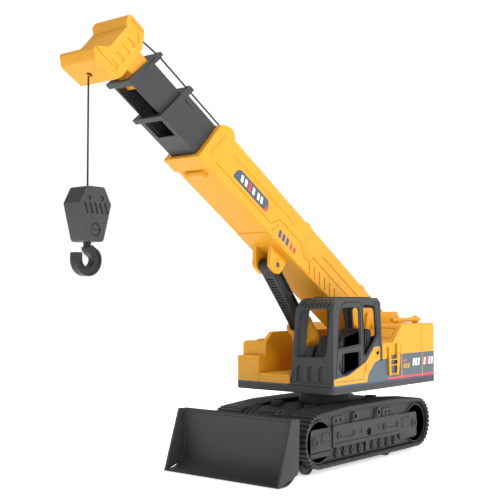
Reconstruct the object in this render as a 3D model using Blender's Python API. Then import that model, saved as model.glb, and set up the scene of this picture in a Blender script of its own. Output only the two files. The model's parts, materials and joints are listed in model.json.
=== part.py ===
"""Toy crawler crane: fixed tracks on small rolling wheels, a dozer blade, a slewing house with
a cab, a luffing boom with two telescopic stages, a dummy ram, a hoist cord and a hook.

Metres, +Z up. The blade faces -Y and the cab stands on the +X side. The model is laid out about
the slew axis, which stands SLEW_Y behind the origin. Along the boom, s runs from above the slew
axis towards the head and t runs up from the boom's underside.
"""

import math

import bmesh
import bpy
from mathutils import Matrix, Vector

# Fits
GAP = 0.0003  # between pieces that touch
SLIDE_GAP = 0.0004  # between pieces that slide
PIN_GAP = 0.0003  # round a pin in its hole

# Ground and slew axis
SLEW_Y = 0.0955

# Tracks
TRACK_HALF_LENGTH = 0.1032
TRACK_OUTER_X = 0.0533
TRACK_WIDTH = 0.0258
BELT_BOTTOM_Z = 0.0045
BELT_END_TOP_Z = 0.0493
BELT_CROWN_Z = 0.0534
BELT_CROWN_Y = 0.040
BELT_THICKNESS = 0.0032
BELT_END_RADIUS = 0.0222
SIDE_PLATE_DEPTH = 0.0068  # how far the side frame's plate lies inside the track's outer face
SIDE_PLATE_THICKNESS = 0.0022
SIDE_BOX_PROUD = 0.0030
SIDE_END_PROUD = 0.0020
SIDE_HOLE_RADIUS = 0.0036

# Wheels
WHEEL_RADIUS = 0.008
WHEEL_WIDTH = 0.0052
WHEEL_MID_X = 0.0425
AXLE_RADIUS = 0.0012
FRONT_AXLE_Y = -0.088
REAR_AXLE_Y = 0.037

# Chassis
CHASSIS_BOTTOM_Z = 0.024
CHASSIS_TOP_Z = 0.0503
CHASSIS_REAR_Y = 0.080
CHASSIS_NOSE_Y = -0.104
BEAM_LENGTH = 0.028
BEAM_HEIGHT = 0.014
FRONT_BEAM_Y = -0.048
REAR_BEAM_Y = 0.062
SCREW_X = 0.036
SCREW_RADIUS = 0.0026
TURNTABLE_RADIUS = 0.024
TURNTABLE_BORE = 0.010
SLEW_PIN_RADIUS = 0.0025

# Blade
BLADE_WIDTH = 0.124
BLADE_HEIGHT = 0.0512
BLADE_WALL = 0.0028
BLADE_FACE_Y = -0.1272
BLADE_TIP_Y = -0.1503
BLADE_HINGE_Y = -0.098
BLADE_HINGE_Z = 0.0165
BLADE_ARM_X = 0.017
BLADE_ARM_WIDTH = 0.006
BLADE_PIN_RADIUS = 0.0015
BLADE_EYE_RADIUS = 0.0045

# House
HOUSE_BOTTOM_Z = 0.0645
HOUSE_BASE_HEIGHT = 0.0068
HOUSE_HALF_WIDTH = 0.0543
HOUSE_FRONT_Y = -0.064
HOUSE_REAR_Y = 0.1143
HOUSE_CORNER = 0.004
ROOF_Z = 0.1222
SHOULDER_Z = 0.1055
SHOULDER_REAR_Y = 0.034
ROOF_FRONT_Y = 0.050
RIGHT_STEP_Z = 0.0944
RIGHT_STEP_Y = -0.0538
RIGHT_HOOD_Z = 0.1075
RIGHT_WALL_TOP_Z = 0.1160
DECK_Z = 0.0795
PIT_REAR_Y = 0.084
DECK_GAP = 0.0004  # between the deck and the cab
SHELL_WALL = 0.0022

# Cab
CAB_REAR_Y = 0.0147
CAB_TOP_Z = 0.1472
CAB_CORNER_LOW_X = 0.0082
CAB_CORNER_TOP_X = 0.0157
CAB_CORNER_REAR_Y = -0.051
CAB_WALL = 0.0022
PANEL_THICKNESS = 0.0011

# Boom
BOOM_ELEVATION = math.radians(32.05)
BOOM_LINE_Z = 0.13697  # height of the boom's underside line above the slew axis
BOOM_PIVOT_S = -0.060
BOOM_PIVOT_T = 0.018
BOOM_FRONT_S = 0.2255
BOOM_HALF_WIDTH = 0.0178
BOOM_HEIGHT = 0.038
BOOM_ROOM_RIGHT = 0.0098
BOOM_ROOM_LEFT = 0.0044
BOOM_ROOM_CAB = 0.0010
PIT_RIGHT_X = -BOOM_HALF_WIDTH - BOOM_ROOM_RIGHT
PIT_LEFT_X = BOOM_HALF_WIDTH + BOOM_ROOM_LEFT
CAB_INNER_X = BOOM_HALF_WIDTH + BOOM_ROOM_CAB
BOOM_WALL = 0.0018
BOOM_CHAMFER = 0.004
BOOM_PIN_RADIUS = 0.0025
BRACKET_THICKNESS = 0.0029
BRACKET_RISE = 0.0128  # of its cheeks above the pin
COLLAR_FRONT_S = 0.2295
COLLAR_LENGTH = 0.0160
COLLAR_RAKE = math.tan(math.radians(12.0))
COLLAR_FLARE = 0.0015
STAGE_RAKE = math.tan(math.radians(17.3))

# Telescopic stages: rear end, rear face of the collar, half width, underside and top
STAGE_1_REAR_S = 0.120
STAGE_1_COLLAR_S = 0.2712
STAGE_1_SIDE_PLAY = 0.00255  # between the boom's inner wall and the stage
STAGE_1_BOTTOM_T = 0.0028
STAGE_1_TOP_T = 0.0358
STAGE_1_WALL = 0.0014
STAGE_2_REAR_S = 0.165
STAGE_2_COLLAR_S = 0.3094
STAGE_2_SIDE_PLAY = 0.0017
STAGE_2_BOTTOM_T = 0.0055
STAGE_2_TOP_T = 0.0339
STAGE_2_WALL = 0.0014
STAGE_COLLAR_THICKNESS = 0.0050
STAGE_COLLAR_FLARE = 0.0020
STAGE_COLLAR_TOP_T = 0.0420
SHOE_LENGTH = 0.006

# Head
HEAD_HALF_WIDTH = 0.0185
HEAD_WALL = 0.0022
PULLEY_RADIUS = 0.0058
PULLEY_S = 0.3378
PULLEY_T = 0.0

# Ram
RAM_PIN_S = 0.09255
RAM_PIN_T = -0.01200
RAM_FOOT_Y = -0.017
RAM_FOOT_Z = 0.0972
RAM_ROD_LENGTH = 0.104
RAM_ROD_HALF_WIDTH = 0.0060
RAM_ROD_HALF_DEPTH = 0.00575
RAM_BORE_RADIUS = 0.0090
RAM_BARREL_RADIUS = 0.0113
RAM_MOUTH = 0.0685  # from the upper pin to the barrel's mouth
RAM_TAIL = 0.0050  # barrel below the foot
RAM_PIN_RADIUS = 0.0022
RAM_EYE_RADIUS = 0.0062
RAM_TRUNNION_RADIUS = 0.0020
RAM_FOOT_PLAY = 0.0046  # room round the trunnion, which the rod's swing needs
CLEVIS_THICKNESS = 0.0038

# Winch and cord
CORD_RADIUS = 0.00065
CORD_X = 0.0105
CORD_T = 0.0415
CORD_ENTRY_S = -0.040
WINCH_S = -0.030
WINCH_T = 0.018
WINCH_DRUM_RADIUS = 0.0065
WINCH_FLANGE_RADIUS = 0.0090
WINCH_SHAFT_RADIUS = 0.0016
WINCH_KNOB_RADIUS = 0.0078
WINCH_KNOB_WIDTH = 0.0085
GUIDE_WIDTH = 0.0044

# Hook
HOOK_Y = -0.291
CORD_EXIT_Z = 0.306
BLOCK_TOP_Z = 0.2265
BLOCK_HEIGHT = 0.039
BLOCK_HALF_THICKNESS = 0.009
BLOCK_HALF_WIDTH = 0.0145
HOOK_RING_Z = 0.1752
HOOK_TIP_RISE = 0.0048
HOOK_RING_RADIUS = 0.0087
HOOK_HALF_THICKNESS = 0.0035
HOOK_SHANK_RADIUS = 0.0028

MATERIALS = {
    "yellow_plastic": ((0.93, 0.60, 0.09, 1.0), 0.42, 0.0),
    "dark_plastic": ((0.075, 0.080, 0.085, 1.0), 0.50, 0.0),
    "black_plastic": ((0.025, 0.026, 0.028, 1.0), 0.55, 0.0),
    "cord": ((0.02, 0.02, 0.022, 1.0), 0.85, 0.0),
    "steel": ((0.60, 0.61, 0.62, 1.0), 0.30, 1.0),
}


def clear_scene():
    for old in list(bpy.data.objects):
        bpy.data.objects.remove(old, do_unlink=True)


def material(name):
    found = bpy.data.materials.get(name)
    if found:
        return found
    color, roughness, metallic = MATERIALS[name]
    made = bpy.data.materials.new(name)
    made.use_nodes = True
    shader = made.node_tree.nodes["Principled BSDF"]
    shader.inputs["Base Color"].default_value = color
    shader.inputs["Roughness"].default_value = roughness
    shader.inputs["Metallic"].default_value = metallic
    made.diffuse_color = color
    return made


def frame(name, location, parent=None, tilt=0.0):
    """An empty whose axes a group of pieces is laid out in."""
    empty = bpy.data.objects.new(name, None)
    bpy.context.scene.collection.objects.link(empty)
    empty.location = location
    empty.rotation_euler = (tilt, 0.0, 0.0)
    empty.parent = parent
    return empty


def rounded(corners, steps=4):
    """An outline from (u, v) or (u, v, radius) corners, whose radii become arcs."""
    points = []
    count = len(corners)
    for index, corner in enumerate(corners):
        here = Vector(corner[:2])
        radius = corner[2] if len(corner) > 2 else 0.0
        if radius <= 0.0:
            points.append(here)
            continue
        before = (Vector(corners[index - 1][:2]) - here).normalized()
        after = (Vector(corners[(index + 1) % count][:2]) - here).normalized()
        half = before.angle(after) / 2
        start = here + before * radius / math.tan(half)
        end = here + after * radius / math.tan(half)
        centre = here + (before + after).normalized() * radius / math.sin(half)
        sweep = math.pi - 2 * half
        for step in range(steps + 1):
            share = step / steps
            if sweep < 1e-6:
                points.append(start.lerp(end, share))
                continue
            a = math.sin((1 - share) * sweep) / math.sin(sweep)
            b = math.sin(share * sweep) / math.sin(sweep)
            if abs(math.sin(sweep)) < 1e-6:
                angle = -math.pi * share
                turned = (start - centre).copy()
                turned.rotate(Matrix.Rotation(angle, 2))
                points.append(centre + turned)
                continue
            points.append(centre + (start - centre) * a + (end - centre) * b)
    return [tuple(point) for point in points]


def circle(u, v, radius, sides=24):
    turn = 2 * math.pi / sides
    return [(u + radius * math.cos(turn * k), v + radius * math.sin(turn * k)) for k in range(sides)]


def along(axis, u, v, w):
    """The point w along axis, at (u, v) across it."""
    return {"X": (w, u, v), "Y": (u, w, v), "Z": (u, v, w)}[axis]


def prism(outline, low, high, axis="X"):
    """A closed solid: the outline, drawn out along axis from low to high."""
    bm = bmesh.new()
    ring = [bm.verts.new(along(axis, u, v, low)) for u, v in outline]
    base = bm.faces.new(ring)
    drawn = bmesh.ops.extrude_face_region(bm, geom=[base])
    moved = [item for item in drawn["geom"] if isinstance(item, bmesh.types.BMVert)]
    bmesh.ops.translate(bm, verts=moved, vec=Vector(along(axis, 0, 0, high - low)))
    bmesh.ops.recalc_face_normals(bm, faces=bm.faces)
    return bm


def box(x, y, z):
    """A closed box from three (low, high) pairs."""
    return prism([(y[0], z[0]), (y[1], z[0]), (y[1], z[1]), (y[0], z[1])], x[0], x[1])


def hoop(outer, inner, low, high, axis="X"):
    """A closed ring between two outlines of as many points each."""
    bm = bmesh.new()
    loops = []
    for outline, level in ((outer, low), (outer, high), (inner, high), (inner, low)):
        loops.append([bm.verts.new(along(axis, u, v, level)) for u, v in outline])
    count = len(outer)
    for side in range(4):
        a, b = loops[side], loops[(side + 1) % 4]
        for k in range(count):
            n = (k + 1) % count
            bm.faces.new((a[k], a[n], b[n], b[k]))
    bmesh.ops.recalc_face_normals(bm, faces=bm.faces)
    return bm


def turned(profile, axis, centre, sides=24):
    """A solid of revolution from (distance along axis, radius) points of a closed profile."""
    bm = bmesh.new()
    points = []
    for w, radius in profile:
        points.append(bm.verts.new(Vector(centre) + Vector(along(axis, radius, 0, w))))
    edges = [bm.edges.new((points[k], points[k - 1])) for k in range(len(points))]
    bmesh.ops.spin(
        bm, geom=points + edges, cent=centre, axis=along(axis, 0, 0, 1),
        angle=2 * math.pi, steps=sides, use_merge=True,
    )
    bmesh.ops.remove_doubles(bm, verts=bm.verts, dist=1e-6)
    bmesh.ops.recalc_face_normals(bm, faces=bm.faces)
    return bm


def rod(axis, centre, radius, low, high, sides=20):
    u, v = {"X": centre[1:], "Y": (centre[0], centre[2]), "Z": centre[:2]}[axis]
    return prism(circle(u, v, radius, sides), low, high, axis)


def mirrored(bm):
    """The same solid on the other side of x = 0."""
    for vert in bm.verts:
        vert.co.x = -vert.co.x
    bmesh.ops.reverse_faces(bm, faces=bm.faces)
    return bm


def piece(name, bm, finish, parent, pivot=(0.0, 0.0, 0.0), smooth=35.0):
    """A named object, its origin on pivot in the parent's axes."""
    mesh = bpy.data.meshes.new(name)
    bm.to_mesh(mesh)
    bm.free()
    mesh.transform(Matrix.Translation(-Vector(pivot)))
    mesh.materials.append(material(finish))
    mesh.shade_smooth()
    mesh.set_sharp_from_angle(angle=math.radians(smooth))
    made = bpy.data.objects.new(name, mesh)
    bpy.context.scene.collection.objects.link(made)
    made.parent = parent
    made.location = pivot
    return made


def combine(target, bm, operation):
    """Adds a Boolean of the solid in bm, given in the axes of target's parent."""
    helper = piece(f"{target.name}_{operation.lower()}", bm, "cord", target.parent)
    helper.hide_render = True
    helper.display_type = "WIRE"
    modifier = target.modifiers.new(operation.title(), "BOOLEAN")
    modifier.operation = operation
    modifier.solver = "EXACT"
    modifier.object = helper


def cut(target, *solids):
    for solid in solids:
        combine(target, solid, "DIFFERENCE")


def add(target, *solids):
    for solid in solids:
        combine(target, solid, "UNION")


# Tracks and chassis


def belt_outline(inset):
    """The track belt's side outline, moved in by inset."""
    length = TRACK_HALF_LENGTH - inset
    radius = BELT_END_RADIUS - inset
    low, high, crown = BELT_BOTTOM_Z + inset, BELT_END_TOP_Z - inset, BELT_CROWN_Z - inset
    return rounded(
        [
            (-length, low, radius),
            (length, low, radius),
            (length, high, radius),
            (BELT_CROWN_Y, crown, 0.06),
            (-BELT_CROWN_Y, crown, 0.06),
            (-length, high, radius),
        ],
        steps=8,
    )


def wheel_slot(axle_y):
    half = WHEEL_WIDTH / 2 + 0.0009
    reach = WHEEL_RADIUS + 0.0018
    return box(
        (WHEEL_MID_X - half, WHEEL_MID_X + half),
        (axle_y - reach, axle_y + reach),
        (BELT_BOTTOM_Z - 0.001, WHEEL_RADIUS * 2 + 0.001),
    )


def axle_notch(axle_y):
    """The way that the axle takes over the belt's lower run."""
    half = AXLE_RADIUS + 0.0006
    x = (TRACK_OUTER_X - TRACK_WIDTH - 0.001, WHEEL_MID_X)
    return box(x, (axle_y - half, axle_y + half), (BELT_BOTTOM_Z - 0.001, WHEEL_RADIUS * 2 + 0.001))


def track_belt():
    inner_x = TRACK_OUTER_X - TRACK_WIDTH
    return hoop(belt_outline(0.0), belt_outline(BELT_THICKNESS), inner_x, TRACK_OUTER_X)


PLATE_OUT_X = TRACK_OUTER_X - SIDE_PLATE_DEPTH + SIDE_PLATE_THICKNESS
PLATE_IN_X = TRACK_OUTER_X - SIDE_PLATE_DEPTH


def side_panel(y, z, proud):
    """A raised rectangle on the side plate, with rounded ends."""
    corners = [(y[0], z[0], 0.003), (y[1], z[0], 0.003), (y[1], z[1], 0.003), (y[0], z[1], 0.003)]
    return prism(rounded(corners, 3), PLATE_OUT_X - 0.001, PLATE_OUT_X + proud)


def side_frame(name, flip, parent):
    flipped = mirrored if flip else (lambda solid: solid)
    plate = prism(belt_outline(BELT_THICKNESS + GAP), PLATE_IN_X, PLATE_OUT_X)
    made = piece(name, flipped(plate), "dark_plastic", parent)
    front_end, rear_end = -TRACK_HALF_LENGTH + 0.0110, TRACK_HALF_LENGTH - 0.0210
    add(
        made,
        flipped(side_panel((-0.0610, 0.0495), (0.0195, 0.0382), SIDE_BOX_PROUD)),
        flipped(side_panel((front_end, -0.0618), (0.0137, 0.0376), SIDE_END_PROUD)),
        flipped(side_panel((0.0503, rear_end), (0.0137, 0.0376), SIDE_END_PROUD)),
    )
    hole = (0.0, -0.0040, 0.0275)
    cut(made, flipped(rod("X", hole, SIDE_HOLE_RADIUS, PLATE_IN_X - 0.002, TRACK_OUTER_X, 24)))
    return made


def wheel(side, axle_y, name, parent):
    centre = (0.0, axle_y, WHEEL_RADIUS)
    half = WHEEL_WIDTH / 2
    bore = AXLE_RADIUS + GAP
    low, high = side * WHEEL_MID_X - half, side * WHEEL_MID_X + half
    edge = 0.0006
    profile = [
        (low, bore), (low, WHEEL_RADIUS - edge), (low + edge, WHEEL_RADIUS),
        (high - edge, WHEEL_RADIUS), (high, WHEEL_RADIUS - edge), (high, bore),
    ]
    return piece(name, turned(profile, "X", centre, 28), "black_plastic", parent, centre)


def chassis(ground):
    inner_x = TRACK_OUTER_X - TRACK_WIDTH - GAP
    side = [
        (CHASSIS_NOSE_Y, CHASSIS_BOTTOM_Z),
        (CHASSIS_REAR_Y, CHASSIS_BOTTOM_Z),
        (CHASSIS_REAR_Y, CHASSIS_TOP_Z - 0.006, 0.003),
        (CHASSIS_REAR_Y - 0.012, CHASSIS_TOP_Z),
        (-0.070, CHASSIS_TOP_Z),
        (CHASSIS_NOSE_Y + 0.002, CHASSIS_BOTTOM_Z + 0.0120, 0.003),
    ]
    body = piece("chassis_frame", prism(rounded(side), -inner_x, inner_x), "dark_plastic", ground)
    beam_z = (CHASSIS_BOTTOM_Z + 0.003, CHASSIS_BOTTOM_Z + 0.003 + BEAM_HEIGHT)
    reach = PLATE_IN_X - GAP
    for beam_y in (FRONT_BEAM_Y, REAR_BEAM_Y):
        span = (beam_y - BEAM_LENGTH / 2, beam_y + BEAM_LENGTH / 2)
        add(body, box((-reach, reach), span, beam_z))
    for axle_y in (FRONT_AXLE_Y, REAR_AXLE_Y):
        for x in ((-inner_x, -inner_x + 0.005), (inner_x - 0.005, inner_x)):
            lug = (WHEEL_RADIUS - 0.0045, CHASSIS_BOTTOM_Z + 0.002)
            add(body, box(x, (axle_y - 0.005, axle_y + 0.005), lug))
        hole = rod("X", (0, axle_y, WHEEL_RADIUS), AXLE_RADIUS + PIN_GAP, -0.04, 0.04, 16)
        cut(body, hole)
    arm_half = BLADE_ARM_WIDTH / 2 + SLIDE_GAP
    for middle in (-BLADE_ARM_X, BLADE_ARM_X):
        for start in (middle - arm_half - 0.003, middle + arm_half):
            ear = rounded(
                [
                    (BLADE_HINGE_Y - 0.005, BLADE_HINGE_Z - 0.0045, 0.003),
                    (BLADE_HINGE_Y + 0.005, BLADE_HINGE_Z - 0.0045, 0.003),
                    (BLADE_HINGE_Y + 0.005, CHASSIS_BOTTOM_Z + 0.002),
                    (BLADE_HINGE_Y - 0.005, CHASSIS_BOTTOM_Z + 0.002),
                ]
            )
            add(body, prism(ear, start, start + 0.003))
    hinge = (0, BLADE_HINGE_Y, BLADE_HINGE_Z)
    cut(body, rod("X", hinge, BLADE_PIN_RADIUS + PIN_GAP, -0.03, 0.03, 16))
    cut(body, box((-0.021, 0.021), (-0.066, CHASSIS_REAR_Y - 0.010), (0.02, CHASSIS_TOP_Z - 0.004)))
    cut(body, rod("Z", (0, 0, 0), SLEW_PIN_RADIUS + PIN_GAP, 0.040, 0.060, 20))

    for side_name, sign in (("left", 1), ("right", -1)):
        flipped = mirrored if sign < 0 else (lambda solid: solid)
        belt = piece(f"track_belt_{side_name}", flipped(track_belt()), "dark_plastic", ground)
        for axle_y in (FRONT_AXLE_Y, REAR_AXLE_Y):
            cut(belt, flipped(wheel_slot(axle_y)), flipped(axle_notch(axle_y)))
        side_frame(f"side_frame_{side_name}", sign < 0, ground)

    low = CHASSIS_TOP_Z + GAP
    middle = (CHASSIS_TOP_Z + HOUSE_BOTTOM_Z) / 2
    ring = [
        (low, TURNTABLE_BORE), (low, TURNTABLE_RADIUS),
        (middle - SLIDE_GAP / 2, TURNTABLE_RADIUS), (middle - SLIDE_GAP / 2, TURNTABLE_BORE),
    ]
    piece("turntable_lower", turned(ring, "Z", (0, 0, 0), 40), "dark_plastic", ground)
    head_z = HOUSE_BOTTOM_Z + HOUSE_BASE_HEIGHT
    pin = [
        (CHASSIS_TOP_Z - 0.006, 0.0), (CHASSIS_TOP_Z - 0.006, SLEW_PIN_RADIUS),
        (head_z + GAP, SLEW_PIN_RADIUS), (head_z + GAP, SLEW_PIN_RADIUS * 2),
        (head_z + GAP + 0.002, SLEW_PIN_RADIUS * 2), (head_z + GAP + 0.002, 0.0),
    ]
    piece("slew_pin", turned(pin, "Z", (0, 0, 0), 20), "steel", ground)

    for where, beam_y in (("front", FRONT_BEAM_Y), ("rear", REAR_BEAM_Y)):
        for side_name, x in (("left", SCREW_X), ("right", -SCREW_X)):
            z = beam_z[0] - GAP
            screw_head = rod("Z", (x, beam_y, 0), SCREW_RADIUS, z - 0.0014, z, 14)
            piece(f"beam_screw_{where}_{side_name}", screw_head, "steel", ground)

    for where, axle_y in (("front", FRONT_AXLE_Y), ("rear", REAR_AXLE_Y)):
        end = WHEEL_MID_X + WHEEL_WIDTH / 2 + 0.0008
        centre = (0.0, axle_y, WHEEL_RADIUS)
        shaft = rod("X", centre, AXLE_RADIUS, -end, end, 16)
        piece(f"{where}_axle", shaft, "steel", ground, centre)
        wheel(1, axle_y, f"{where}_wheel_left", ground)
        wheel(-1, axle_y, f"{where}_wheel_right", ground)


# Blade


def blade_section(thickness):
    """The mouldboard's section: upright, then swept forwards to the cutting edge."""
    lip = BLADE_FACE_Y - BLADE_TIP_Y
    front = rounded(
        [
            (BLADE_FACE_Y, BLADE_HEIGHT),
            (BLADE_FACE_Y, 0.0022, 0.0150),
            (BLADE_FACE_Y - lip, 0.0013),
        ],
        steps=8,
    )
    back = rounded(
        [
            (BLADE_TIP_Y, 0.0002),
            (BLADE_FACE_Y + thickness, 0.0002, 0.0150 + thickness),
            (BLADE_FACE_Y + thickness, BLADE_HEIGHT),
        ],
        steps=8,
    )
    return front + back


def blade(ground):
    hinge = (0.0, BLADE_HINGE_Y, BLADE_HINGE_Z)
    half = BLADE_WIDTH / 2
    board = prism(blade_section(BLADE_WALL), -half, half)
    made = piece("blade", board, "dark_plastic", ground, hinge)
    cheek = rounded(
        [
            (BLADE_TIP_Y, 0.0002),
            (BLADE_FACE_Y + BLADE_WALL + 0.0005, 0.0075, 0.004),
            (BLADE_FACE_Y + BLADE_WALL + 0.0022, BLADE_HEIGHT, 0.0015),
            (BLADE_FACE_Y - 0.0058, BLADE_HEIGHT + 0.0006, 0.002),
        ]
    )
    add(made, prism(cheek, half - 0.0022, half), prism(cheek, -half, -half + 0.0022))
    back_y = BLADE_FACE_Y + BLADE_WALL + GAP
    z_mid = BLADE_HINGE_Z
    arms = piece(
        "blade_arms",
        box((-BLADE_ARM_X - 0.003, BLADE_ARM_X + 0.003), (back_y, back_y + 0.004), (0.0085, 0.030)),
        "dark_plastic", ground, hinge,
    )
    for middle in (-BLADE_ARM_X, BLADE_ARM_X):
        span = (middle - BLADE_ARM_WIDTH / 2, middle + BLADE_ARM_WIDTH / 2)
        bar = box(span, (back_y + 0.001, BLADE_HINGE_Y), (z_mid - 0.0038, z_mid + 0.0038))
        eye = rod("X", hinge, BLADE_EYE_RADIUS, span[0], span[1], 20)
        add(arms, bar, eye)
    cut(arms, rod("X", hinge, BLADE_PIN_RADIUS + PIN_GAP, -0.03, 0.03, 16))
    reach = BLADE_ARM_X + BLADE_ARM_WIDTH / 2 + 0.004
    inner = BLADE_ARM_X - BLADE_ARM_WIDTH / 2 - 0.004
    pin = rod("X", hinge, BLADE_PIN_RADIUS, inner, reach, 16)
    piece("blade_pin_left", pin, "steel", ground, hinge)
    pin = rod("X", hinge, BLADE_PIN_RADIUS, -reach, -inner, 16)
    piece("blade_pin_right", pin, "steel", ground, hinge)


# House


def house_outline(inset):
    side = HOUSE_HALF_WIDTH - inset
    front, rear = HOUSE_FRONT_Y + inset, HOUSE_REAR_Y - inset
    radius = HOUSE_CORNER
    return rounded([(-side, front, radius), (side, front, radius), (side, rear, radius), (-side, rear, radius)])


def left_profile(low, inset):
    """Side outline of the hood behind the cab."""
    rear = HOUSE_REAR_Y - inset
    return rounded(
        [
            (CAB_REAR_Y + GAP * 2 + inset, low), (rear, low), (rear, ROOF_Z - inset, 0.006 - inset / 2),
            (ROOF_FRONT_Y, ROOF_Z - inset, 0.004), (SHOULDER_REAR_Y, SHOULDER_Z - inset, 0.004),
            (CAB_REAR_Y + GAP * 2 + inset, SHOULDER_Z - inset),
        ]
    )


def right_profile(low, inset):
    """Side outline of the hood on the far side of the boom."""
    rear, front = HOUSE_REAR_Y - inset, HOUSE_FRONT_Y + inset
    return rounded(
        [
            (front, low), (rear, low), (rear, ROOF_Z - inset, 0.006 - inset / 2),
            (ROOF_FRONT_Y, ROOF_Z - inset, 0.004), (SHOULDER_REAR_Y, RIGHT_HOOD_Z - inset, 0.004),
            (RIGHT_STEP_Y + inset, RIGHT_HOOD_Z - inset, 0.004), (RIGHT_STEP_Y + inset, RIGHT_STEP_Z - inset),
            (front, RIGHT_STEP_Z - inset, 0.003),
        ]
    )


def house(slew):
    low = HOUSE_BOTTOM_Z + HOUSE_BASE_HEIGHT
    base = piece(
        "house_base", prism(house_outline(0.0), HOUSE_BOTTOM_Z, low, "Z"), "dark_plastic", slew
    )
    cut(base, rod("Z", (0, 0, 0), SLEW_PIN_RADIUS + PIN_GAP, 0.06, 0.08, 20))
    middle = (CHASSIS_TOP_Z + HOUSE_BOTTOM_Z) / 2
    top = HOUSE_BOTTOM_Z - GAP
    ring = [
        (middle + SLIDE_GAP / 2, TURNTABLE_BORE), (middle + SLIDE_GAP / 2, TURNTABLE_RADIUS),
        (top, TURNTABLE_RADIUS), (top, TURNTABLE_BORE),
    ]
    piece("turntable_upper", turned(ring, "Z", (0, 0, 0), 40), "dark_plastic", slew)

    floor = low + GAP
    below = floor - 0.002
    side, wall = HOUSE_HALF_WIDTH, SHELL_WALL
    plan = (floor - 0.001, ROOF_Z + 0.001)
    right = piece(
        "right_hood", prism(right_profile(floor, 0.0), -side, PIT_RIGHT_X), "yellow_plastic", slew
    )
    cheek = rounded(
        [
            (RIGHT_STEP_Y + 0.0003, DECK_Z - 0.002), (SHOULDER_REAR_Y + 0.010, DECK_Z - 0.002),
            (SHOULDER_REAR_Y + 0.010, RIGHT_WALL_TOP_Z), (-0.0427, RIGHT_WALL_TOP_Z, 0.002),
            (RIGHT_STEP_Y + 0.0003, RIGHT_HOOD_Z - 0.001, 0.001),
        ]
    )
    add(right, prism(cheek, PIT_RIGHT_X - 0.0045, PIT_RIGHT_X))
    combine(right, prism(house_outline(0.0), *plan, "Z"), "INTERSECT")
    cut(right, prism(right_profile(below, wall), -side + wall, PIT_RIGHT_X - wall))
    left = piece(
        "left_hood", prism(left_profile(floor, 0.0), PIT_LEFT_X, side), "yellow_plastic", slew
    )
    combine(left, prism(house_outline(0.0), *plan, "Z"), "INTERSECT")
    cut(left, prism(left_profile(below, wall), PIT_LEFT_X + wall, side - wall))

    right_x, left_x = PIT_RIGHT_X + GAP, PIT_LEFT_X - GAP
    deck = piece(
        "house_deck",
        box((right_x, left_x), (CAB_REAR_Y + DECK_GAP, PIT_REAR_Y - GAP), (floor, DECK_Z)),
        "yellow_plastic", slew,
    )
    add(
        deck,
        box((right_x, CAB_INNER_X - DECK_GAP), (CAB_CORNER_REAR_Y + 0.001, 0.030), (floor, DECK_Z)),
        box((right_x, CAB_CORNER_LOW_X - DECK_GAP), (HOUSE_FRONT_Y, 0.030), (floor, DECK_Z)),
    )
    cut(
        deck,
        box((right_x + wall, CAB_CORNER_LOW_X - DECK_GAP - wall), (HOUSE_FRONT_Y + wall, 0.078), (below, DECK_Z - wall)),
    )
    rear = rounded(
        [
            (PIT_REAR_Y, floor), (HOUSE_REAR_Y, floor), (HOUSE_REAR_Y, ROOF_Z, 0.006), (PIT_REAR_Y, ROOF_Z),
        ]
    )
    hood = piece("rear_hood", prism(rear, right_x, left_x), "yellow_plastic", slew)
    inside = rounded(
        [
            (PIT_REAR_Y + wall, below), (HOUSE_REAR_Y - wall, below),
            (HOUSE_REAR_Y - wall, ROOF_Z - wall, 0.004), (PIT_REAR_Y + wall, ROOF_Z - wall),
        ]
    )
    cut(hood, prism(inside, right_x + wall, left_x - wall))


def bracket(slew):
    """Two cheeks on a foot, which carry the boom's pin."""
    inside = BOOM_HALF_WIDTH + SLIDE_GAP + 0.0001
    outside = inside + BRACKET_THICKNESS
    pivot = boom_point(BOOM_PIVOT_S, BOOM_PIVOT_T)
    foot_z = DECK_Z + GAP
    cheek = rounded(
        [
            (0.0400, foot_z), (PIT_REAR_Y - GAP, foot_z), (PIT_REAR_Y - GAP, ROOF_Z + GAP),
            (0.1040, ROOF_Z + GAP), (0.0975, pivot[2] + BRACKET_RISE, 0.003),
            (0.0440, pivot[2] + BRACKET_RISE, 0.004),
            (0.0400, ROOF_Z, 0.006),
        ]
    )
    foot = box((-outside, outside), (0.040, PIT_REAR_Y - GAP), (foot_z, foot_z + 0.003))
    made = piece("boom_bracket", foot, "yellow_plastic", slew)
    add(made, prism(cheek, inside, outside), prism(cheek, -outside, -inside))
    hole = rod("X", (0, pivot[1], pivot[2]), BOOM_PIN_RADIUS + PIN_GAP, -0.03, 0.03, 20)
    cut(made, hole)
    centre = (0.0, pivot[1], pivot[2])
    piece("boom_pin", rod("X", centre, BOOM_PIN_RADIUS, -outside, outside, 20), "steel", slew, centre)


def ram_bracket(slew):
    """The fork that the ram's foot stands in, with oversize eyes."""
    inside = RAM_BARREL_RADIUS + 0.0010
    outside = inside + 0.003
    eye = RAM_TRUNNION_RADIUS + RAM_FOOT_PLAY
    rim = eye + 0.0028
    foot_z = DECK_Z + GAP
    cheek = rounded(
        [
            (RAM_FOOT_Y - rim, foot_z), (RAM_FOOT_Y + rim, foot_z),
            (RAM_FOOT_Y + rim, RAM_FOOT_Z + rim, rim * 0.98), (RAM_FOOT_Y - rim, RAM_FOOT_Z + rim, rim * 0.98),
        ],
        steps=6,
    )
    foot_x = inside + 0.001
    foot_y = (RAM_FOOT_Y - rim + 0.001, RAM_FOOT_Y + rim - 0.001)
    foot = box((-foot_x, foot_x), foot_y, (foot_z, foot_z + 0.0015))
    made = piece("ram_bracket", foot, "yellow_plastic", slew)
    add(made, prism(cheek, inside, outside), prism(cheek, -outside, -inside))
    cut(made, rod("X", (0, RAM_FOOT_Y, RAM_FOOT_Z), eye, -0.03, 0.03, 24))


# Cab


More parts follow.
